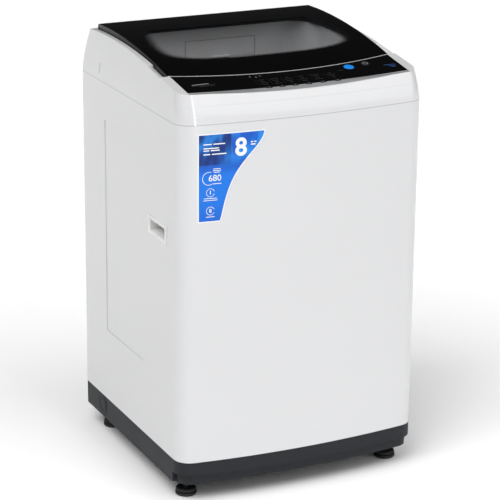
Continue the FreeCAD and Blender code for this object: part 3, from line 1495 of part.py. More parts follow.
def build():
    """Makes every piece of the machine under its node's name."""
    PARTS["cabinet_shell"] = make_cabinet_shell()
    PARTS["rear_panel"] = make_rear_panel()
    PARTS["cabinet_screws"] = make_cabinet_screws()
    PARTS["base_frame"] = make_base_frame()
    PARTS["drain_knockout"] = make_drain_knockout()
    for name, x, y in foot_places():
        PARTS["foot_" + name] = make_foot(x, y)
    PARTS["foot_lock_nuts"] = make_foot_lock_nuts()
    PARTS["side_grip_right"], PARTS["side_grip_left"] = both_sides(make_side_grip())
    PARTS["top_frame"] = make_top_frame()
    PARTS["control_fascia"] = make_control_fascia()
    PARTS["panel_trim"] = make_panel_trim()
    PARTS["seam_trim"] = seam_block(4.0)
    PARTS["control_board"] = make_control_board()
    for name, x, y, oval in buttons():
        PARTS[name] = make_button(x, y, oval)
    PARTS["lid_glass"] = make_lid_glass()
    PARTS["lid_frame"] = make_lid_frame()
    PARTS["lid_hinge_pins"] = make_lid_hinge_pins()
    PARTS["lid_bumpers"] = make_lid_bumpers()
    PARTS["detergent_drawer"] = make_detergent_drawer()
    PARTS["drawer_housing"] = make_drawer_housing()
    PARTS["inlet_valve"] = make_inlet_valve()
    PARTS["inlet_hose"] = make_inlet_hose()
    PARTS["pressure_sensor"] = make_pressure_sensor()
    PARTS["pressure_tube"] = make_pressure_tube()
    PARTS["outer_tub"] = make_outer_tub()
    PARTS["tub_cover"] = make_tub_cover()
    PARTS["tub_mount_plate"] = make_tub_mount_plate()
    PARTS["gearbox"] = make_gearbox()
    PARTS["drive_motor"] = make_drive_motor()
    PARTS["drive_pulley"] = make_drive_pulley()
    PARTS["motor_pulley"] = make_motor_pulley()
    PARTS["drive_belt"] = make_drive_belt()
    PARTS["wash_basket"] = make_wash_basket()
    PARTS["balance_ring"] = make_balance_ring()
    PARTS["basket_hub"] = make_basket_hub()
    PARTS["lint_filter"] = make_lint_filter()
    PARTS["pulsator"] = make_pulsator()
    PARTS["pulsator_screw"] = make_pulsator_screw()
    PARTS["pulsator_shaft"] = make_pulsator_shaft()
    PARTS["suspension_brackets"] = make_suspension_brackets()
    PARTS["suspension_rods"] = make_suspension_rods()
    PARTS["suspension_springs"] = make_suspension_springs()
    PARTS["drain_pump"] = make_drain_pump()
    PARTS["pump_impeller"] = make_pump_impeller()
    PARTS["drain_bellows"] = make_drain_bellows()
    PARTS["drain_hose"] = make_drain_hose()
    PARTS["drain_outlet"] = make_drain_outlet()
    PARTS["cord_gland"] = make_cord_gland()


build()
os.makedirs("parts", exist_ok=True)
for node, piece in PARTS.items():
    solids = [s for item in (piece if isinstance(piece, list) else [piece]) for s in item.Solids]
    shape = solids[0] if len(solids) == 1 else Part.makeCompound(solids)
    shape.exportStep(f"parts/{node}.step")
    bad = "" if shape.isValid() else " INVALID"
    print(f"{node}: {len(solids)} solids, {shape.Volume / 1000:.1f} cm3{bad}")
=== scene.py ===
import json
import math

import bmesh
import bpy
from mathutils import Matrix, Vector


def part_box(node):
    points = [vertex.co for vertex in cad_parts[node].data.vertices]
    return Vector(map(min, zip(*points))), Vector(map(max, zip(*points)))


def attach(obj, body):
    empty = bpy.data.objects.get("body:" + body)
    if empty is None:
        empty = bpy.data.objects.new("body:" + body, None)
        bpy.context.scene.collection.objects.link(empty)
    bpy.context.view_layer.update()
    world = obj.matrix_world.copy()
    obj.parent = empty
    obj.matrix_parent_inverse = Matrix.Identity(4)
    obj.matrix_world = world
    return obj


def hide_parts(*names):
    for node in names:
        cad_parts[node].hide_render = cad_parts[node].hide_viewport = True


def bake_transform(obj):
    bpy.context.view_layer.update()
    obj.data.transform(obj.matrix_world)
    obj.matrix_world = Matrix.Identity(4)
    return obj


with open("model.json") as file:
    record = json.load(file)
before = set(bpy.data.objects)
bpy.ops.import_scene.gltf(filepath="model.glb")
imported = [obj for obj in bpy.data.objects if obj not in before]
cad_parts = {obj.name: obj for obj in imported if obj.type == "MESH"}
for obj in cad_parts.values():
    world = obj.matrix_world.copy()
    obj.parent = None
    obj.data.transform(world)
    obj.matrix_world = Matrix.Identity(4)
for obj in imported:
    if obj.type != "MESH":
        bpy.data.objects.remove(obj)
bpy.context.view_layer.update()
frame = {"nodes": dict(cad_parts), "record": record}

bl_info = {
    "name": "Top Load Washing Machine",
    "version": (1, 0, 0),
    "blender": (4, 5, 0),
    "location": "View3D > Sidebar > Washer",
    "description": "Skins, glass, marks and finishes of a top load washing machine",
    "category": "Object",
}

BODY_OF = {node: body for body, nodes in frame["record"]["behaviour"]["bodies"].items()
           for node in nodes}
SHELL_LOW, SHELL_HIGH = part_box("cabinet_shell")
FASCIA_LOW, FASCIA_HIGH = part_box("control_fascia")
LID_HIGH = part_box("lid_glass")[1]
BASKET_LOW, BASKET_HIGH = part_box("wash_basket")
FULL_TURN = 2 * math.pi
# Thickness of the print on the label and on the panel
LABEL_PRINT, PANEL_PRINT = 0.00012, 0.00008
# How far printed marks lie above the label's sheet, the panel and the panel's keys
LABEL_LIFT, PANEL_LIFT, KEY_LIFT = 0.0004, 0.00005, 0.00082
PROGRAM_KEYS = tuple(f"program_button_{number}" for number in range(1, 7))
# The materials by name
LOOKS = {}


# Sizes and colours that a user would change
class CabinetSizes(bpy.types.PropertyGroup):
    bow: bpy.props.FloatProperty(
        name="Front bow", description="How far the front bulges at its middle",
        default=0.021, unit="LENGTH")
    edge: bpy.props.FloatProperty(
        name="Edge rounding", description="Rounding of the sheet's and mouldings' edges",
        default=0.0008, unit="LENGTH")
    panel_slope: bpy.props.FloatProperty(
        name="Panel slope", description="Slope of the control panel towards the front",
        default=math.radians(8.8), subtype="ANGLE")
    # Height of the painted shade line that stands for the soft crease under the control panel
    crease: bpy.props.FloatProperty(
        name="Crease", description="Height of the soft line under the control panel",
        default=0.828, unit="LENGTH")


class LabelSizes(bpy.types.PropertyGroup):
    left: bpy.props.FloatProperty(
        name="Left edge", description="Place of the label's left edge across the front",
        default=-0.233, unit="LENGTH")
    top: bpy.props.FloatProperty(
        name="Top edge", description="Height of the label's top edge above the floor",
        default=0.7755, unit="LENGTH")
    wide: bpy.props.FloatProperty(
        name="Top width", description="Width of the label along its top",
        default=0.138, unit="LENGTH")
    narrow: bpy.props.FloatProperty(
        name="Bottom width", description="Width of the label along its bottom",
        default=0.043, unit="LENGTH")
    tall: bpy.props.FloatProperty(
        name="Height", description="Height of the label", default=0.178, unit="LENGTH")
    margin: bpy.props.FloatProperty(
        name="White margin", description="White border round the printed field",
        default=0.0022, unit="LENGTH")


class BasketSizes(bpy.types.PropertyGroup):
    columns: bpy.props.IntProperty(
        name="Columns", description="Columns of cells round the basket's wall", default=96)
    rows: bpy.props.IntProperty(
        name="Rows", description="Rows of cells up the basket's wall", default=30)
    hole: bpy.props.FloatProperty(
        name="Hole border", description="Metal left between a cell's edge and its hole",
        default=0.0045, unit="LENGTH")
    wall: bpy.props.FloatProperty(
        name="Sheet", description="Thickness of the basket's sheet", default=0.001, unit="LENGTH")


class Colours(bpy.types.PropertyGroup):
    white: bpy.props.FloatVectorProperty(
        name="Enamel white", description="Colour of the cabinet and top frame",
        default=(0.634, 0.636, 0.645), subtype="COLOR", size=3)
    base: bpy.props.FloatVectorProperty(
        name="Base grey", description="Colour of the plastic base",
        default=(0.018, 0.0195, 0.023), subtype="COLOR", size=3)
    black: bpy.props.FloatVectorProperty(
        name="Panel black", description="Colour of the glossy panel and the lid's border",
        default=(0.001, 0.001, 0.0012), subtype="COLOR", size=3)
    silver: bpy.props.FloatVectorProperty(
        name="Trim silver", description="Colour of the trims",
        default=(0.30, 0.305, 0.31), subtype="COLOR", size=3)
    start_blue: bpy.props.FloatVectorProperty(
        name="Start blue", description="Colour of the start button",
        default=(0.01, 0.27, 0.86), subtype="COLOR", size=3)
    label_blue: bpy.props.FloatVectorProperty(
        name="Label blue", description="Main colour of the label",
        default=(0.005, 0.09, 0.50), subtype="COLOR", size=3)
    label_dark: bpy.props.FloatVectorProperty(
        name="Label dark blue", description="Dark colour of the label's pictures",
        default=(0.004, 0.016, 0.11), subtype="COLOR", size=3)
    smoke: bpy.props.FloatProperty(
        name="Glass tint", description="How much the lid's window darkens what is behind it",
        default=0.135, min=0.0, max=1.0, subtype="FACTOR")


class StageSettings(bpy.types.PropertyGroup):
    azimuth: bpy.props.FloatProperty(
        name="Azimuth", description="Camera's turn about the machine",
        default=math.radians(-25.63), subtype="ANGLE")
    elevation: bpy.props.FloatProperty(
        name="Elevation", description="Camera's height angle",
        default=math.radians(18.32), subtype="ANGLE")
    roll: bpy.props.FloatProperty(
        name="Roll", description="Camera's tilt to one side",
        default=math.radians(0.53), subtype="ANGLE")
    distance: bpy.props.FloatProperty(
        name="Distance", description="From the camera to the machine",
        default=4.5264, unit="LENGTH")
    lens: bpy.props.FloatProperty(
        name="Lens", description="Focal length in millimetres on a 36 mm sensor", default=154.1)
    key: bpy.props.FloatProperty(
        name="Key light", description="Strength of the main light", default=1.9)
    fill: bpy.props.FloatProperty(
        name="Fill light", description="Strength of the light from the other side", default=1.12)
    top: bpy.props.FloatProperty(
        name="Top light", description="Strength of the light from above", default=1.3)
    strip: bpy.props.FloatProperty(
        name="Strip light", description="Power of the tall lamp that draws the corner's highlight",
        default=10.0)
    room: bpy.props.FloatProperty(
        name="Room light", description="Strength of the even light from all round", default=0.03)


# Shader maths
class Flow:
    """A shader socket that takes part in expressions on numbers."""

    def __init__(self, look, socket):
        self.look = look
        self.socket = socket

    def __add__(self, other):
        return self.look.maths("ADD", self, other)

    def __sub__(self, other):
        return self.look.maths("SUBTRACT", self, other)

    def __mul__(self, other):
        return self.look.maths("MULTIPLY", self, other)

    def __truediv__(self, other):
        return self.look.maths("DIVIDE", self, other)

    def __pow__(self, other):
        return self.look.maths("POWER", self, other)

    def __rsub__(self, other):
        return self.look.maths("SUBTRACT", other, self)

    def __abs__(self):
        return self.look.maths("ABSOLUTE", self)

    def at_least(self, other):
        return self.look.maths("MAXIMUM", self, other)

    def at_most(self, other):
        return self.look.maths("MINIMUM", self, other)

    def step(self, low, high):
        """0 under low, 1 over high and a soft rise between them."""
        return self.look.node("ShaderNodeMapRange", {"interpolation_type": "SMOOTHSTEP"},
                              {"Value": self, "From Min": low, "From Max": high})


class Look:
    """One material: a Principled shader and the nodes that feed it."""

    def __init__(self, name, colour, roughness, metallic=0.0, **surface):
        self.material = bpy.data.materials.new(name)
        self.material.use_nodes = True
        self.tree = self.material.node_tree
        self.shader = self.tree.nodes["Principled BSDF"]
        self.set_surface({"Base Color": colour, "Roughness": roughness, "Metallic": metallic})
        self.set_surface({key.replace("_", " "): value for key, value in surface.items()})
        LOOKS[name] = self.material

    def set_surface(self, values):
        for key, value in values.items():
            self.feed(self.shader.inputs[key], value)

    def feed(self, socket, value):
        if isinstance(value, Flow):
            self.tree.links.new(value.socket, socket)
        elif hasattr(value, "__len__") and socket.type == "RGBA":
            socket.default_value = (*tuple(value)[:3], 1.0)
        else:
            socket.default_value = value

    def node(self, kind, settings=None, values=None, output=0):
        """Adds a node, sets it and returns one of its outputs."""
        node = self.tree.nodes.new(kind)
        for key, value in (settings or {}).items():
            setattr(node, key, value)
        for key, value in (values or {}).items():
            self.feed(node.inputs[key], value)
        return Flow(self, node.outputs[output])

    def maths(self, operation, *values):
        return self.node("ShaderNodeMath", {"operation": operation}, dict(enumerate(values)))

    def place(self, scale=(1.0, 1.0, 1.0)):
        """Object coordinates, stretched by scale."""
        where = self.node("ShaderNodeTexCoord", output="Object")
        return self.node("ShaderNodeMapping", None, {"Vector": where, "Scale": scale})

    def axes(self):
        """Object coordinates as three numbers."""
        where = self.node("ShaderNodeTexCoord", output="Object")
        split = self.tree.nodes.new("ShaderNodeSeparateXYZ")
        self.feed(split.inputs[0], where)
        return [Flow(self, out) for out in split.outputs]

    def noise(self, size, detail=2.0, stretch=(1.0, 1.0, 1.0)):
        """Soft noise with spots of about the given size in metres."""
        return self.node("ShaderNodeTexNoise", None,
                         {"Vector": self.place(stretch), "Scale": 1.0 / size, "Detail": detail})

    def cells(self, size):
        """Distance to the nearest of scattered points, for grain."""
        return self.node("ShaderNodeTexVoronoi", None,
                         {"Vector": self.place(), "Scale": 1.0 / size})

    def blend(self, factor, first, second):
        """First colour where factor is 0 and second where it is 1."""
        # The node has sockets for each type of data under the same names: these are the colours'
        return self.node("ShaderNodeMix", {"data_type": "RGBA"},
                         {0: factor, 6: first, 7: second}, output=2)

    def relief(self, height, depth):
        """Bumps the surface by a height from 0 to 1 over a depth in metres."""
        bump = self.node("ShaderNodeBump", None,
                         {"Height": height, "Strength": 1.0, "Distance": depth})
        self.feed(self.shader.inputs["Normal"], bump)


def middle_of(node):
    """Middle of a CAD node."""
    low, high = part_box(node)
    return (low + high) / 2


def darker(colour, share):
    """Colour with the given share of its brightness."""
    return tuple(channel * share for channel in tuple(colour)[:3])


def moulded(name, colour, roughness, grain=0.0008, depth=0.00002, **surface):
    """Moulded plastic: fine grain, slight mottling of colour and gloss."""
    look = Look(name, colour, roughness, **surface)
    mottle = look.noise(0.05, 3.0)
    look.set_surface({
        "Base Color": look.blend(mottle.step(0.3, 0.7), darker(colour, 0.94), colour),
        "Roughness": mottle * (roughness * 0.25) + roughness * 0.87})
    look.relief(look.cells(grain), depth)
    return look


def enamelled(name, colour, roughness, coat_roughness):
    """White surface with a clear coat, a painted shadow at the top frame's seam and a painted
    crease shade.
    """
    look = Look(name, colour, roughness, Coat_Weight=0.8, Coat_Roughness=coat_roughness)
    crease = bpy.context.scene.washer_cabinet.crease
    _, y, z = look.axes()
    tone = look.noise(0.35).step(0.25, 0.75)
    # Painted shadow: the enamel darkens to 0.6 of its colour in a thin line at the seam under the
    # top frame
    joint_shadow = 1.0 - abs(z - SHELL_HIGH.z).step(0.0003, 0.0012)
    at_front = 1.0 - y.step(-0.26, -0.225)
    # Painted shade: a faint darker line along the crease height, on the front only
    crease_shade = (1.0 - abs(z - crease).step(0.0, 0.002)) * at_front
    clean = look.blend(tone, darker(colour, 0.985), colour)
    crease_shaded = look.blend(crease_shade, clean, darker(colour, 0.9))
    look.set_surface({
        "Base Color": look.blend(joint_shadow, crease_shaded, darker(colour, 0.6)),
        "Roughness": look.noise(0.02) * 0.04 + (roughness - 0.02)})
    look.relief(look.noise(0.006), 0.000003)
    return look


def base_plastic(name, colour, node):
    """Grained base plastic with painted shade in the groove that rings the knock-out."""
    look = Look(name, colour, 0.5, Specular_IOR_Level=0.2)
    _, y, z = look.axes()
    middle = middle_of(node)
    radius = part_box(node)[1].z - middle.z
    away = ((y - middle.y) ** 2.0 + (z - middle.z) ** 2.0) ** 0.5
    # Painted shade: a dark line where the groove round the knock-out lies
    outline = 1.0 - abs(away - radius).step(0.0006, 0.0018)
    mottle = look.noise(0.05, 3.0)
    plain = look.blend(mottle.step(0.3, 0.7), darker(colour, 0.92), colour)
    look.set_surface({
        "Base Color": look.blend(outline, plain, darker(colour, 0.2)),
        "Roughness": mottle * 0.12 + 0.44})
    look.relief(look.cells(0.0009), 0.00002)
    return look


def bordered_gloss(name, colours):
    """Glossy black panel with a silver border that widens towards the front corners."""
    look = Look(name, colours.black, 0.1, Specular_IOR_Level=0.2)
    x, y, _ = look.axes()
    bow, widest = 0.010, 0.0042
    across = abs(x) / FASCIA_HIGH.x
    front = across ** 2.0 * bow + FASCIA_LOW.y
    border = 1.0 - (y - front - across ** 2.0 * widest).step(-0.0002, 0.0002)
    haze = look.noise(0.05, 3.0)
    look.set_surface({
        "Base Color": look.blend(border, colours.black, colours.silver),
        "Roughness": haze * 0.03 + 0.085})
    look.relief(look.noise(0.02), 0.000004)
    return look


def gap_shaded(name, colour, node):
    """Smooth plastic, darker near the edges of a node's front as painted shade in the gap round
    it.
    """
    look = Look(name, colour, 0.35)
    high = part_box(node)[1]
    x, _, z = look.axes()
    # Painted shade: darker within about 1.8 mm of the front's sides and top, for the gap round the
    # drawer
    border = (high.x - abs(x)).at_most(high.z - z)
    tone = look.noise(0.04, 3.0)
    clean = look.blend(tone.step(0.3, 0.7), darker(colour, 0.95), colour)
    look.set_surface({
        "Base Color": look.blend(border.step(0.0004, 0.0018), darker(colour, 0.5), clean),
        "Roughness": tone * 0.1 + 0.3})
    look.relief(look.cells(0.0008), 0.000005)
    return look


def machined(name, colour, roughness, stretch, depth=0.00001):
    """Metal with a drawn or turned grain that runs along the short side of stretch."""
    look = Look(name, colour, roughness, 1.0)
    grain = look.noise(0.002, 4.0, stretch)
    look.set_surface({
        "Base Color": look.blend(grain.step(0.3, 0.7), darker(colour, 0.82), colour),
        "Roughness": grain * 0.2 + (roughness - 0.1)})
    look.relief(grain, depth)
    return look


def rubbery(name, colour):
    """Rubber with a dusty bloom."""
    look = Look(name, colour, 0.75)
    bloom = look.noise(0.02, 5.0)
    look.set_surface({
        "Base Color": look.blend(bloom.step(0.45, 0.75), colour, [c * 1.6 + 0.01 for c in colour]),
        "Roughness": bloom * 0.2 + 0.62})
    look.relief(look.noise(0.0012, 3.0), 0.00004)
    return look


def galvanised(name, colour):
    """Zinc coated sheet with spangles."""
    look = Look(name, colour, 0.42, 0.85)
    spangle = look.node("ShaderNodeTexVoronoi", {"feature": "F1"},
                        {"Vector": look.place(), "Scale": 90.0}, output="Color")
    tone = look.node("ShaderNodeRGBToBW", None, {0: spangle})
    look.set_surface({
        "Base Color": look.blend(tone, darker(colour, 0.8), colour),
        "Roughness": tone * 0.16 + 0.34})
    look.relief(look.noise(0.004), 0.00002)
    return look


def glazed(name, colours):
    """Lid glass: printed black round a smoked window with a soft dotted border."""
    look = Look(name, colours.black, 0.05, Specular_IOR_Level=0.2)
    x, y, _ = look.axes()
    # The window's rear edge, widest line, reach ahead of that line, half width and roundness
    rear_edge, middle, reach = LID_HIGH.y - 0.0905, 0.002, 0.086
    half_width, narrowing, roundness = 0.225, 0.030, 3.0
    taper = (((y - middle) / (rear_edge - middle)).at_least(0.0) ** 1.6) * narrowing
    across = abs(x) / (half_width - taper)
    ahead = ((middle - y) / reach).at_least(0.0)
    round_edge = 1.0 - (across ** roundness + ahead ** roundness) ** (1 / roundness)
    inside = (round_edge * 0.13).at_most(rear_edge - y)
    dots = look.cells(0.0022)
    print_edge = (inside - dots * 0.006).step(-0.002, 0.016)
    clear = print_edge * (1.0 - colours.smoke)
    smudge = look.noise(0.09, 4.0)
    look.set_surface({
        "Base Color": look.blend(print_edge, colours.black, (0.012, 0.013, 0.015)),
        "Roughness": smudge.step(0.4, 0.8) * 0.05 + 0.04,
        "Alpha": 1.0 - clear})
    look.relief(look.noise(0.12, 1.0), 0.00015)
    return look


def printed_label(name, colours):
    """Blue label: bright bands over a deep field, darker behind the bars of the upper left."""
    label = bpy.context.scene.washer_label
    look = Look(name, colours.label_blue, 0.4, Specular_IOR_Level=0.25)
    x, _, z = look.axes()
    u = (x - label.left) / label.wide
    v = (label.top - z) / label.tall
    swirl = look.noise(0.03, 2.0, (1.0, 1.0, 0.35))
    wave = look.maths("SINE", (u * 3.0 + v * 5.5 + swirl * 4.0) * 2.6) * 0.5 + 0.5
    upper = 1.0 - v.step(0.22, 0.42)
    square = (1.0 - v.step(0.345, 0.36)) * (1.0 - u.step(0.48, 0.49))
    bright = look.blend(wave * upper * 0.8, colours.label_blue, (0.02, 0.27, 0.80))
    deep = look.blend(v.step(0.34, 0.5) * (1.0 - v.step(0.7, 1.0) * 0.5), bright,
                      (0.008, 0.17, 0.70))
    shade = square * (0.85 - wave * 0.6)
    look.set_surface({"Base Color": look.blend(shade, deep, colours.label_dark)})
    look.relief(look.noise(0.01), 0.00001)
    return look


def stone_floor(name):
    """Pale matt floor."""
    look = Look(name, (0.965, 0.965, 0.965), 0.7, Specular_IOR_Level=0.2)
    tone = look.noise(0.6)
    look.set_surface({"Base Color": look.blend(tone, (0.96, 0.96, 0.96), (0.97, 0.97, 0.97))})
    return look


# Objects and meshes
def linked(name, data):
    """New object in the scene."""
    item = bpy.data.objects.new(name, data)
    bpy.context.scene.collection.objects.link(item)
    return item


def meshed(name, bm, look):
    """New object in the scene with a bmesh's faces and one material."""
    mesh = bpy.data.meshes.new(name)
    bm.to_mesh(mesh)
    bm.free()
    mesh.materials.append(LOOKS[look])
    return linked(name, mesh)


def finished(name, bm, body, look, replaced=(), smooth_angle=30.0, recalculate=True,
             between=None):
    """Turns a bmesh into a piece that rides on a body.

    A flexible piece gives between, the heights where it leaves the cabinet and reaches the tub;
    the heights are not used, and such a piece is baked in place, riding on no body.
    """
    if recalculate:
        bmesh.ops.recalc_face_normals(bm, faces=bm.faces)
    limit = math.radians(smooth_angle)
    for face in bm.faces:
        face.smooth = True
    for edge in bm.edges:
        edge.smooth = len(edge.link_faces) == 2 and edge.calc_face_angle(0.0) < limit
    piece = meshed(name, bm, look)
    if between:
        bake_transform(piece)
    else:
        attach(piece, body)
    if replaced:
        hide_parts(*replaced)
    return piece


def refined(node, look, edge):
    """Piece with a CAD node's shape, its surfaces smooth and its edges rounded by edge."""
    bm = bmesh.new()
    bm.from_mesh(frame["nodes"][node].data)
    bmesh.ops.remove_doubles(bm, verts=bm.verts, dist=0.00002)
    bmesh.ops.dissolve_degenerate(bm, edges=bm.edges, dist=0.00001)
    bmesh.ops.dissolve_limit(bm, angle_limit=math.radians(0.6), verts=bm.verts, edges=bm.edges,
                             delimit={"NORMAL"})
    piece = finished(node + "_skin", bm, BODY_OF[node], look, (node,),
                     smooth_angle=32.0, recalculate=False, between=FLEXIBLE.get(node))
    if edge:
        rounding = piece.modifiers.new("Rounded edges", "BEVEL")
        rounding.width = edge
        rounding.segments = 2
        rounding.limit_method = "ANGLE"
        rounding.angle_limit = math.radians(40.0)
        rounding.harden_normals = True
    return piece


def eased(bm, offset):
    """Rounds a bmesh's edges."""
    bmesh.ops.bevel(bm, geom=list(bm.edges), offset=offset, offset_type="OFFSET", segments=2,
                    profile=0.5, affect="EDGES", material=-1, clamp_overlap=True)


def raised(bm, faces, shift):
    """Extrudes faces by a shift and returns the vertices at the far side."""
    grown = bmesh.ops.extrude_face_region(bm, geom=faces)
    top = [item for item in grown["geom"] if isinstance(item, bmesh.types.BMVert)]
    bmesh.ops.translate(bm, verts=top, vec=shift)
    return top


def pill(bm, matrix, length, width, height):
    """Adds a flat bar with round ends on a plane given by its matrix."""
    half = max(length - width, 0.0) / 2
    made = bmesh.ops.create_circle(bm, cap_ends=True, segments=32, radius=width / 2)
    for vert in made["verts"]:
        vert.co.x += math.copysign(half, vert.co.x) if abs(vert.co.x) > 1e-7 else 0.0
    top = raised(bm, [made["verts"][0].link_faces[0]], (0.0, 0.0, height))
    bmesh.ops.transform(bm, matrix=matrix, verts=made["verts"] + top)


def pills(bm, place, rows, width, height):
    """Adds flat bars, each from its middle's two coordinates and its length."""
    for first, second, length in rows:
        pill(bm, place(first, second), length, width, height)


def ring(bm, matrix, outer, inner, height, start=0.0, turn=FULL_TURN, steps=40):
    """Adds a flat ring, or an arc of one, on a plane given by its matrix."""
    corners = [(inner, 0.0), (outer, 0.0), (outer, height), (inner, height)]
    verts = [bm.verts.new((r * math.cos(start), r * math.sin(start), h)) for r, h in corners]
    face = bm.faces.new(verts)
    whole = turn >= FULL_TURN
    made = bmesh.ops.spin(bm, geom=[face] + list(face.edges) + verts, cent=(0, 0, 0),
                          axis=(0, 0, 1), angle=turn, steps=steps, use_merge=whole)
    if whole and face.is_valid:
        bmesh.ops.delete(bm, geom=[face], context="FACES_ONLY")
    ends = [item for item in made["geom_last"] if isinstance(item, bmesh.types.BMVert)]
    touched = {vert for vert in verts + ends if vert.is_valid}
    island = set(touched)
    while touched:
        vert = touched.pop()
        for edge in vert.link_edges:
            other = edge.other_vert(vert)
            if other not in island:
                island.add(other)
                touched.add(other)
    bmesh.ops.transform(bm, matrix=matrix, verts=list(island))


def lathe(bm, profile, steps):
    """Adds a body of revolution about the upright axis from (radius, height) points."""
    verts = [bm.verts.new((radius, 0.0, z)) for radius, z in profile]
    edges = [bm.edges.new(pair) for pair in zip(verts, verts[1:])]
    bmesh.ops.spin(bm, geom=verts + edges, cent=(0, 0, 0), axis=(0, 0, 1), angle=FULL_TURN,
                   steps=steps, use_merge=True)
    bmesh.ops.remove_doubles(bm, verts=bm.verts, dist=0.00001)


# Surfaces of the machine
def front_y(x):
    """Place of the bowed front at x."""
    bow = bpy.context.scene.washer_cabinet.bow
    half = SHELL_HIGH.x
    radius = (half * half + bow * bow) / (2 * bow)
    return SHELL_LOW.y + radius - math.sqrt(radius * radius - x * x)


def panel_z(y):
    """Height of the control panel at y."""
    slope = bpy.context.scene.washer_cabinet.panel_slope
    return FASCIA_HIGH.z + (y - FASCIA_HIGH.y) * math.tan(slope)


def panel_place(x, y, lift, turn=0.0):
    """Matrix of a flat mark on the control panel."""
    slope = bpy.context.scene.washer_cabinet.panel_slope
    place = Matrix.Translation((x, y, panel_z(y)))
    return (place @ Matrix.Rotation(slope, 4, "X") @ Matrix.Translation((0, 0, lift))
            @ Matrix.Rotation(turn, 4, "Z"))


def front_place(x, z, lift):
    """Matrix of a flat mark on the bowed front, with its own X across and Y up."""
    step = 0.001
    turn = math.atan2(front_y(x + step) - front_y(x - step), 2 * step)
    place = Matrix.Translation((x, front_y(x), z)) @ Matrix.Rotation(turn, 4, "Z")
    return place @ Matrix.Rotation(math.pi / 2, 4, "X") @ Matrix.Translation((0, 0, lift))


# Operators, one for each piece or group of like pieces
class WASHER_OT_finishes(bpy.types.Operator):
    """Make the machine's materials"""
    bl_idname = "washer.finishes"
    bl_label = "Finishes"

    def execute(self, context):
        colours = context.scene.washer_colours
        fine, coarse = 0.0006, 0.0008  # spacing of a moulding's grain
        print_depth = 0.000003
        enamelled("cabinet_enamel", colours.white, 0.35, 0.16)
        enamelled("frame_gloss", colours.white, 0.35, 0.06)
        moulded("white_moulding", colours.white, 0.3, fine, 0.000002, Coat_Weight=0.15)
        # Painted light: the grips are lighter than the cabinet's white, to brighten their shaded
        # pockets
        moulded("grip_moulding_painted_light", (0.76, 0.76, 0.755), 0.35, fine, 0.000002)
        base_plastic("base_moulding", colours.base, "drain_knockout")
        moulded("foot_moulding", (0.012, 0.012, 0.013), 0.6, coarse, 0.00004)
        bordered_gloss("panel_gloss", colours)
        moulded("lid_edge_moulding", (0.012, 0.012, 0.0125), 0.32, 0.0007, 0.00001)
        moulded("key_moulding", (0.006, 0.006, 0.0065), 0.22, fine, 0.000005)
        moulded("start_key_moulding", colours.start_blue, 0.25, fine, 0.000005, Coat_Weight=0.5)
        gap_shaded("drawer_moulding", colours.white, "detergent_drawer")
        moulded("valve_moulding", (0.72, 0.72, 0.68), 0.45)
        moulded("tub_moulding", (0.42, 0.44, 0.46), 0.5)
        moulded("ring_moulding", (0.5, 0.52, 0.55), 0.4)
        moulded("pulsator_moulding", (0.36, 0.42, 0.5), 0.35)
        moulded("pump_moulding", (0.03, 0.033, 0.04), 0.5)
        moulded("board_lacquer", (0.01, 0.11, 0.04), 0.35)
        moulded("label_white", (0.85, 0.85, 0.85), 0.35, fine, print_depth)
        moulded("panel_print", (0.24, 0.25, 0.26), 0.4, fine, print_depth)
        moulded("panel_print_faint", (0.035, 0.037, 0.04), 0.4, fine, print_depth)
        moulded("panel_print_blue", (0.02, 0.07, 0.22), 0.4, fine, print_depth)
        moulded("trim_silver", colours.silver, 0.34, fine, 0.000004, metallic=0.4)
        # Real silver trim, lightened as a painted highlight for the bright line along the seam
        moulded("seam_silver_painted_highlight", (0.59, 0.60, 0.61), 0.3, fine, 0.000004, metallic=0.2)
        machined("turned_steel", (0.55, 0.56, 0.58), 0.3, (1.0, 1.0, 0.1))
        machined("basket_steel", (0.6, 0.61, 0.63), 0.24, (1.0, 1.0, 0.04))
        machined("cast_aluminium", (0.5, 0.51, 0.52), 0.45, (1.0, 1.0, 1.0), 0.00008)
        machined("motor_iron", (0.13, 0.135, 0.14), 0.5, (1.0, 1.0, 1.0), 0.00006)
        galvanised("zinc_sheet", (0.5, 0.52, 0.53))
        rubbery("black_rubber", (0.012, 0.012, 0.012))
        rubbery("hose_rubber", (0.06, 0.065, 0.07))
        glazed("lid_glass_print", colours)
        printed_label("label_print", colours)
        return {"FINISHED"}


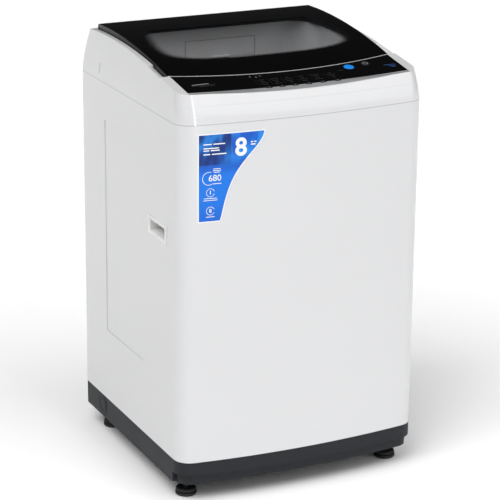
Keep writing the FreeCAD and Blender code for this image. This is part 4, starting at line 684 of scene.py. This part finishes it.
# The nodes that keep their CAD shape, by material
FRAME_LOOKS = {
    "cabinet_enamel": ("cabinet_shell",),
    "frame_gloss": ("top_frame",),
    "white_moulding": ("drawer_housing",),
    "grip_moulding_painted_light": ("side_grip_left", "side_grip_right"),
    "base_moulding": ("base_frame", "drain_knockout"),
    "foot_moulding": ("foot_front_left", "foot_front_right", "foot_rear_left", "foot_rear_right"),
    "panel_gloss": ("control_fascia",),
    "lid_edge_moulding": ("lid_frame",),
    "lid_glass_print": ("lid_glass",),
    "trim_silver": ("panel_trim",),
    "seam_silver_painted_highlight": ("seam_trim",),
    "start_key_moulding": ("start_button",),
    "key_moulding": ("power_button",) + PROGRAM_KEYS,
    "drawer_moulding": ("detergent_drawer",),
    "valve_moulding": ("inlet_valve", "pressure_sensor"),
    "tub_moulding": ("outer_tub", "tub_cover"),
    "ring_moulding": ("balance_ring",),
    "pulsator_moulding": ("pulsator", "lint_filter"),
    "pump_moulding": ("drain_pump", "pump_impeller", "drain_outlet", "cord_gland"),
    "board_lacquer": ("control_board",),
    "turned_steel": ("cabinet_screws", "foot_lock_nuts", "lid_hinge_pins", "pulsator_screw",
                     "pulsator_shaft", "suspension_rods"),
    "cast_aluminium": ("gearbox", "basket_hub", "drive_pulley", "motor_pulley"),
    "motor_iron": ("drive_motor",),
    "zinc_sheet": ("rear_panel", "tub_mount_plate", "suspension_brackets"),
    "black_rubber": ("lid_bumpers", "drive_belt"),
    "hose_rubber": ("inlet_hose", "pressure_tube", "drain_bellows", "drain_hose"),
}
# Nodes whose edges are rounded
SOFT_EDGES = ("cabinet_shell", "top_frame", "side_grip_left", "side_grip_right", "base_frame",
              "lid_frame", "lid_glass", "control_fascia", "drain_knockout", "panel_trim",
              "detergent_drawer")
# Heights where a flexible piece leaves the cabinet and where it reaches the tub
FLEXIBLE = {"drain_bellows": (0.165, 0.232), "pressure_tube": (0.79, 0.33)}


class WASHER_OT_frame_skins(bpy.types.Operator):
    """Smooth skins with rounded edges over the machine's frame"""
    bl_idname = "washer.frame_skins"
    bl_label = "Frame skins"

    def execute(self, context):
        edge = context.scene.washer_cabinet.edge
        for look, nodes in FRAME_LOOKS.items():
            for node in nodes:
                refined(node, look, edge if node in SOFT_EDGES else 0.0)
        return {"FINISHED"}


def label_edge(share):
    """Share of the label's narrowing that is reached at a share of its height from the top."""
    lag, hook = 0.164, 0.325
    return share ** 2 / (share ** 2 + lag * (1.0 - share) ** hook)


def label_sheet(name, inset, lift, look):
    """Curved sheet with the label's outline, moved in by an inset."""
    label = bpy.context.scene.washer_label
    bm = bmesh.new()
    made = bmesh.ops.create_grid(bm, x_segments=28, y_segments=36, size=0.5)
    for vert in made["verts"]:
        across, down = vert.co.x + 0.5, 0.5 - vert.co.y
        z = label.top - inset - down * (label.tall - 2 * inset)
        share = (label.top - z) / label.tall
        right = label.left + label.wide - (label.wide - label.narrow) * label_edge(share) - inset
        left = label.left + inset
        x = left + across * (right - left)
        vert.co = (x, front_y(x) - lift, z)
    raised(bm, list(bm.faces), (0.0, -LABEL_PRINT, 0.0))
    return finished(name, bm, "cabinet", look)


def figures(bm, text, place, height, weight):
    """Adds numbers of a given height on a plane given by its matrix."""
    curve = bpy.data.curves.new("Figures", "FONT")
    curve.body = text
    curve.align_x, curve.align_y = "CENTER", "CENTER"
    curve.offset = weight
    curve.resolution_u = 6
    holder = bpy.data.objects.new("Figures", curve)
    mesh = bpy.data.meshes.new_from_object(holder)
    before = set(bm.verts)
    bm.from_mesh(mesh)
    new = [vert for vert in bm.verts if vert not in before]
    tall = max(vert.co.y for vert in new) - min(vert.co.y for vert in new)
    size = height / tall
    faces = list({face for vert in new for face in vert.link_faces})
    top = raised(bm, faces, (0.0, 0.0, LABEL_PRINT / size))
    bmesh.ops.transform(bm, matrix=place @ Matrix.Diagonal((size, size, size, 1.0)),
                        verts=new + top)
    bpy.data.objects.remove(holder)
    bpy.data.curves.remove(curve)
    bpy.data.meshes.remove(mesh)


# Bars on the label: how far their middles lie from its left and top edges, and their lengths
HEADING_BARS = [(start + length / 2, down, length) for start, down, length in (
    (0.011, 0.021, 0.017), (0.031, 0.021, 0.024), (0.011, 0.029, 0.032), (0.011, 0.0335, 0.012),
    (0.026, 0.0335, 0.018), (0.011, 0.041, 0.014), (0.028, 0.041, 0.030))]
UNIT_BARS = ((0.110, 0.0225, 0.005), (0.117, 0.0225, 0.005), (0.1125, 0.0275, 0.010))
SPEED_BARS = ((0.0385, 0.0705, 0.015), (0.0385, 0.0740, 0.017), (0.0385, 0.0775, 0.013),
              (0.0385, 0.1005, 0.019))
SIGN_BARS = ((0.0255, 0.1295, 0.027), (0.0255, 0.1335, 0.029), (0.0255, 0.1670, 0.018))


class WASHER_OT_label(bpy.types.Operator):
    """Blue label on the front with its white border, numbers, rings and bars"""
    bl_idname = "washer.label"
    bl_label = "Front label"

    def execute(self, context):
        label = context.scene.washer_label
        border_lift, field_lift = 0.0001, 0.00024
        label_sheet("label_border", 0.0, border_lift, "label_white")
        label_sheet("label_field", label.margin, field_lift, "label_print")

        def at(across, down):
            return front_place(label.left + across, label.top - down, LABEL_LIFT)

        bm = bmesh.new()
        figures(bm, "8", at(0.0875, 0.0325), 0.037, 0.026)
        pills(bm, at, UNIT_BARS, 0.0024, LABEL_PRINT)
        pills(bm, at, HEADING_BARS, 0.0021, LABEL_PRINT)
        finished("label_figures", bm, "cabinet", "label_white")

        bm = bmesh.new()
        speed_down, sign_across, gap = 0.0895, 0.0255, 0.3
        figures(bm, "680", at(0.0345, speed_down), 0.0125, 0.004)
        ring(bm, at(0.0225, speed_down), 0.0135, 0.0125, LABEL_PRINT, math.radians(70),
             math.radians(225))
        pills(bm, at, SPEED_BARS, 0.0014, LABEL_PRINT)
        for down, text in ((0.118, "1"), (0.155, "8")):
            place = at(sign_across, down)
            ring(bm, place, 0.0086, 0.0077, LABEL_PRINT, gap, FULL_TURN - 2 * gap)
            figures(bm, text, place, 0.0075, 0.02)
        pills(bm, at, SIGN_BARS, 0.0013, LABEL_PRINT)
        finished("label_rings", bm, "cabinet", "label_white")
        return {"FINISHED"}


# Bars on the panel: the places of their middles and their lengths
PANEL_BARS = ((-0.196, -0.193, 0.05), (-0.19, -0.198, 0.034), (0.13, -0.158, 0.02),
              (0.172, -0.151, 0.018), (0.106, -0.19, 0.012))
BLUE_BARS = ((0.218, -0.186, 0.026), (0.222, -0.192, 0.018), (0.222, -0.1975, 0.01))


class WASHER_OT_panel_marks(bpy.types.Operator):
    """Generic marks, lamps and scales printed on the control panel and its keys"""
    bl_idname = "washer.panel_marks"
    bl_label = "Panel marks"

    def execute(self, context):
        def at(x, y):
            return panel_place(x, y, PANEL_LIFT)

        bm = bmesh.new()
        pill(bm, at(-0.2, -0.1875), 0.036, 0.0028, PANEL_PRINT)
        lamp_x, lamp_y, lamp_step, lamp_drop = -0.088, -0.176, 0.011, 0.004
        for i in range(3):
            place = at(lamp_x + lamp_step * i, lamp_y - lamp_drop * (i % 2))
            ring(bm, place, 0.0019, 0.0012, PANEL_PRINT)
        finished("panel_signs", bm, "cabinet", "panel_print")

        # Above each program key, four bars of three lengths with a dot before each
        lowest, row_step, dot_out, dot = 0.014, 0.0075, 0.0125, 0.0014
        shortest, longer = 0.009, 0.004
        bm = bmesh.new()
        for number, node in enumerate(PROGRAM_KEYS, 1):
            middle = middle_of(node)
            for i in range(4):
                y = middle.y + lowest + row_step * i
                length = shortest + longer * ((i + number) % 3)
                pill(bm, at(middle.x, y), length, 0.0011, PANEL_PRINT)
                pill(bm, at(middle.x - dot_out, y), dot, dot, PANEL_PRINT)
        pills(bm, at, PANEL_BARS, 0.0012, PANEL_PRINT)
        finished("panel_scales", bm, "cabinet", "panel_print_faint")

        bm = bmesh.new()
        pills(bm, at, BLUE_BARS, 0.0022, PANEL_PRINT)
        finished("panel_blue_signs", bm, "cabinet", "panel_print_blue")
        return {"FINISHED"}


class WASHER_OT_key_marks(bpy.types.Operator):
    """Rim of the start key, the power sign, and painted highlight arcs on the program keys"""
    bl_idname = "washer.key_marks"
    bl_label = "Key marks"

    def execute(self, context):
        for key in ("start_button", "power_button") + PROGRAM_KEYS:
            middle = middle_of(key)
            place = panel_place(middle.x, middle.y, KEY_LIFT)
            bm = bmesh.new()
            look = "panel_print"
            if key == "start_button":
                outer, rim = 0.0098, 0.0008
                ring(bm, place, outer, outer - rim, 0.00015)
                look = "start_key_moulding"
            elif key == "power_button":
                ring(bm, place, 0.0062, 0.0048, LABEL_PRINT, math.radians(120), math.radians(300),
                     36)
                bar = panel_place(middle.x, middle.y + 0.0045, KEY_LIFT, math.pi / 2)
                pill(bm, bar, 0.006, 0.0013, LABEL_PRINT)
            else:
                # Painted highlight: a grey arc over the near side of each program key's rim, for
                # the glint on its silver
                ring(bm, place, 0.0026, 0.0017, 0.0001, math.radians(200), math.radians(140), 20)
            finished(key + "_mark", bm, key, look)
        return {"FINISHED"}


class WASHER_OT_basket(bpy.types.Operator):
    """Perforated basket with pressed ribs"""
    bl_idname = "washer.basket"
    bl_label = "Basket"

    def execute(self, context):
        sizes = context.scene.washer_basket
        radius, low, high = BASKET_HIGH.x, BASKET_LOW.z, BASKET_HIGH.z
        bend, bend_steps = 0.018, 4
        wall_low = low + bend
        wall = high - low - bend
        profile = [(0.030, low), (0.080, low), (0.130, low), (radius - bend, low)]
        for i in range(1, bend_steps + 1):
            turn = math.pi / 2 * i / bend_steps
            profile.append((radius - bend + bend * math.sin(turn),
                            low + bend - bend * math.cos(turn)))
        step = wall / sizes.rows
        profile += [(radius, wall_low + step * (i + 1)) for i in range(sizes.rows)]
        bm = bmesh.new()
        lathe(bm, profile, sizes.columns)

        # Holes like a chequerboard in bands, with the lowest row and the top three left plain
        cell, band, plain_top = FULL_TURN / sizes.columns, 8, 3
        holes = []
        for face in bm.faces:
            middle = face.calc_center_median()
            row = round((middle.z - low - bend) / step - 0.5)
            column = round(math.atan2(middle.y, middle.x) / cell - 0.5)
            in_band = middle.z > wall_low and 1 <= row < sizes.rows - plain_top
            if in_band and row % band != band - 1 and (row + column) % 2 == 0:
                holes.append(face)
        bmesh.ops.inset_individual(bm, faces=holes, thickness=sizes.hole, use_even_offset=True)
        bmesh.ops.delete(bm, geom=holes, context="FACES")

        ribs, rib_depth = 12, 0.004
        for vert in bm.verts:
            if vert.co.z > wall_low:
                turn = math.atan2(vert.co.y, vert.co.x)
                share = (vert.co.z - low - bend) / wall
                wave = max(math.cos(ribs * turn), 0.0) ** 6 * math.sin(math.pi * share) ** 0.5
                vert.co.xy *= 1.0 - rib_depth * wave / radius
        piece = finished("basket_drum", bm, "basket", "basket_steel",
                         ("wash_basket",), 40.0)
        sheet = piece.modifiers.new("Sheet", "SOLIDIFY")
        sheet.thickness = sizes.wall
        sheet.offset = -1.0
        return {"FINISHED"}


class WASHER_OT_springs(bpy.types.Operator):
    """Coil springs under the tub's lugs"""
    bl_idname = "washer.springs"
    bl_label = "Springs"

    def execute(self, context):
        low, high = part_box("suspension_springs")
        wire, radius, turns, turn_steps = 0.0032, 0.0145, 8, 20
        outer = 0.0165  # from the springs' box to their axes
        steps = turns * turn_steps
        rise = (high.z - low.z - wire) / steps
        bm = bmesh.new()
        for x in (low.x + outer, high.x - outer):
            for y in (low.y + outer, high.y - outer):
                start = Matrix.Translation((x + radius, y, low.z + wire / 2))
                start = start @ Matrix.Rotation(math.pi / 2, 4, "X")
                verts = bmesh.ops.create_circle(bm, cap_ends=True, segments=10, radius=wire / 2,
                                                matrix=start)["verts"]
                edges = list({edge for vert in verts for edge in vert.link_edges})
                bmesh.ops.spin(bm, geom=verts + edges, cent=(x, y, low.z), axis=(0, 0, 1),
                               dvec=(0, 0, rise), angle=FULL_TURN * turns, steps=steps)
        bmesh.ops.holes_fill(bm, edges=[e for e in bm.edges if e.is_boundary], sides=12)
        finished("coil_springs", bm, "cabinet", "turned_steel",
                 ("suspension_springs",), between=(low.z, high.z))
        return {"FINISHED"}


class WASHER_OT_rear_details(bpy.types.Operator):
    """Louvres and a blank rating plate on the rear panel"""
    bl_idname = "washer.rear_details"
    bl_label = "Rear details"

    def execute(self, context):
        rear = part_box("rear_panel")[1].y
        facing = Matrix.Rotation(-math.pi / 2, 4, "X")
        rows, lowest, spacing, out = 7, 0.55, 0.016, 0.06
        bm = bmesh.new()
        for row in range(rows):
            for side in (-1, 1):
                place = Matrix.Translation((side * out, rear, lowest + spacing * row)) @ facing
                pill(bm, place, 0.09, 0.007, 0.0012)
        eased(bm, 0.0005)
        finished("rear_louvres", bm, "cabinet", "zinc_sheet")

        wide, thick, tall = 0.09, 0.0006, 0.05
        place = Matrix.Translation((-0.11, rear + thick / 2, 0.36))
        bm = bmesh.new()
        bmesh.ops.create_cube(bm, size=1.0, matrix=place @ Matrix.Diagonal((wide, thick, tall, 1)))
        eased(bm, 0.0002)
        finished("rating_plate", bm, "cabinet", "trim_silver")
        return {"FINISHED"}


def studio_floor():
    """Adds the pale floor."""
    bm = bmesh.new()
    half_side = 30.0
    bmesh.ops.create_grid(bm, x_segments=1, y_segments=1, size=half_side)
    stone_floor("floor_matt")
    meshed("floor", bm, "floor_matt")


def studio_lights(settings):
    """Adds the dim room, three soft suns with angles in degrees, and the tall strip."""
    world = bpy.data.worlds.new("Studio")
    world.use_nodes = True
    shade = world.node_tree.nodes["Background"]
    shade.inputs["Color"].default_value = (1.0, 1.0, 1.0, 1.0)
    shade.inputs["Strength"].default_value = settings.room
    bpy.context.scene.world = world
    for name, azimuth, elevation, strength, spread in (
            ("Key", -62.0, 52.0, settings.key, 45.0),
            ("Fill", 38.0, 34.0, settings.fill, 60.0),
            ("Top", -25.0, 80.0, settings.top, 80.0)):
        light = bpy.data.lights.new(name, "SUN")
        light.energy = strength
        light.angle = math.radians(spread)
        lamp = linked(name, light)
        lamp.rotation_euler = (math.radians(90.0 - elevation), 0.0, math.radians(azimuth))
    ahead, middle, wide, tall = 3.0, 1.3, 0.05, 2.4
    light = bpy.data.lights.new("Strip", "AREA")
    light.shape = "RECTANGLE"
    light.size, light.size_y = wide, tall
    light.energy = settings.strip
    lamp = linked("Strip", light)
    lamp.location = (0.0, -ahead, middle)
    lamp.rotation_euler = (math.radians(90.0), 0.0, 0.0)


def studio_camera(settings):
    """Adds the camera, which looks at a point near the machine's middle."""
    target = Vector((0.00355, 0.00678, 0.430))
    turn, lift, roll = settings.azimuth, settings.elevation, settings.roll
    back = Vector((math.sin(turn) * math.cos(lift), -math.cos(turn) * math.cos(lift),
                   math.sin(lift)))
    level = Vector((math.cos(turn), math.sin(turn), 0.0))
    up = back.cross(level)
    right = level * math.cos(roll) + up * math.sin(roll)
    above = up * math.cos(roll) - level * math.sin(roll)
    camera = bpy.data.cameras.new("Camera")
    camera.lens = settings.lens
    camera.shift_x, camera.shift_y = -0.00028, 0.0037
    camera.clip_end = 60.0
    holder = linked("Camera", camera)
    axes = Matrix((right, above, back)).transposed().to_4x4()
    holder.matrix_world = Matrix.Translation(target + back * settings.distance) @ axes
    bpy.context.scene.camera = holder


class WASHER_OT_stage(bpy.types.Operator):
    """Pale floor, soft lights and the camera"""
    bl_idname = "washer.stage"
    bl_label = "Stage"

    def execute(self, context):
        settings = context.scene.washer_stage
        studio_floor()
        studio_lights(settings)
        studio_camera(settings)
        context.scene.view_settings.view_transform = "Standard"
        return {"FINISHED"}


STEPS = (WASHER_OT_stage, WASHER_OT_finishes, WASHER_OT_frame_skins, WASHER_OT_label,
         WASHER_OT_panel_marks, WASHER_OT_key_marks, WASHER_OT_basket, WASHER_OT_springs,
         WASHER_OT_rear_details)
SETTINGS = (("washer_cabinet", CabinetSizes), ("washer_label", LabelSizes),
            ("washer_basket", BasketSizes), ("washer_colours", Colours),
            ("washer_stage", StageSettings))


class WASHER_PT_panel(bpy.types.Panel):
    """Sizes, colours and steps of the washing machine"""
    bl_idname = "WASHER_PT_panel"
    bl_label = "Washing Machine"
    bl_space_type = "VIEW_3D"
    bl_region_type = "UI"
    bl_category = "Washer"

    def draw(self, context):
        layout = self.layout
        for name, group in SETTINGS:
            box = layout.box()
            values = getattr(context.scene, name)
            for key in group.__annotations__:
                box.prop(values, key)
        for step in STEPS:
            layout.operator(step.bl_idname)


CLASSES = tuple(group for _, group in SETTINGS) + STEPS + (WASHER_PT_panel,)


def register():
    for cls in CLASSES:
        bpy.utils.register_class(cls)
    for name, group in SETTINGS:
        setattr(bpy.types.Scene, name, bpy.props.PointerProperty(type=group))


def unregister():
    for name, _ in SETTINGS:
        delattr(bpy.types.Scene, name)
    for cls in reversed(CLASSES):
        bpy.utils.unregister_class(cls)


def main():
    register()
    for step in STEPS:
        group, name = step.bl_idname.split(".")
        getattr(getattr(bpy.ops, group), name)()


if __name__ == "__main__":
    main()
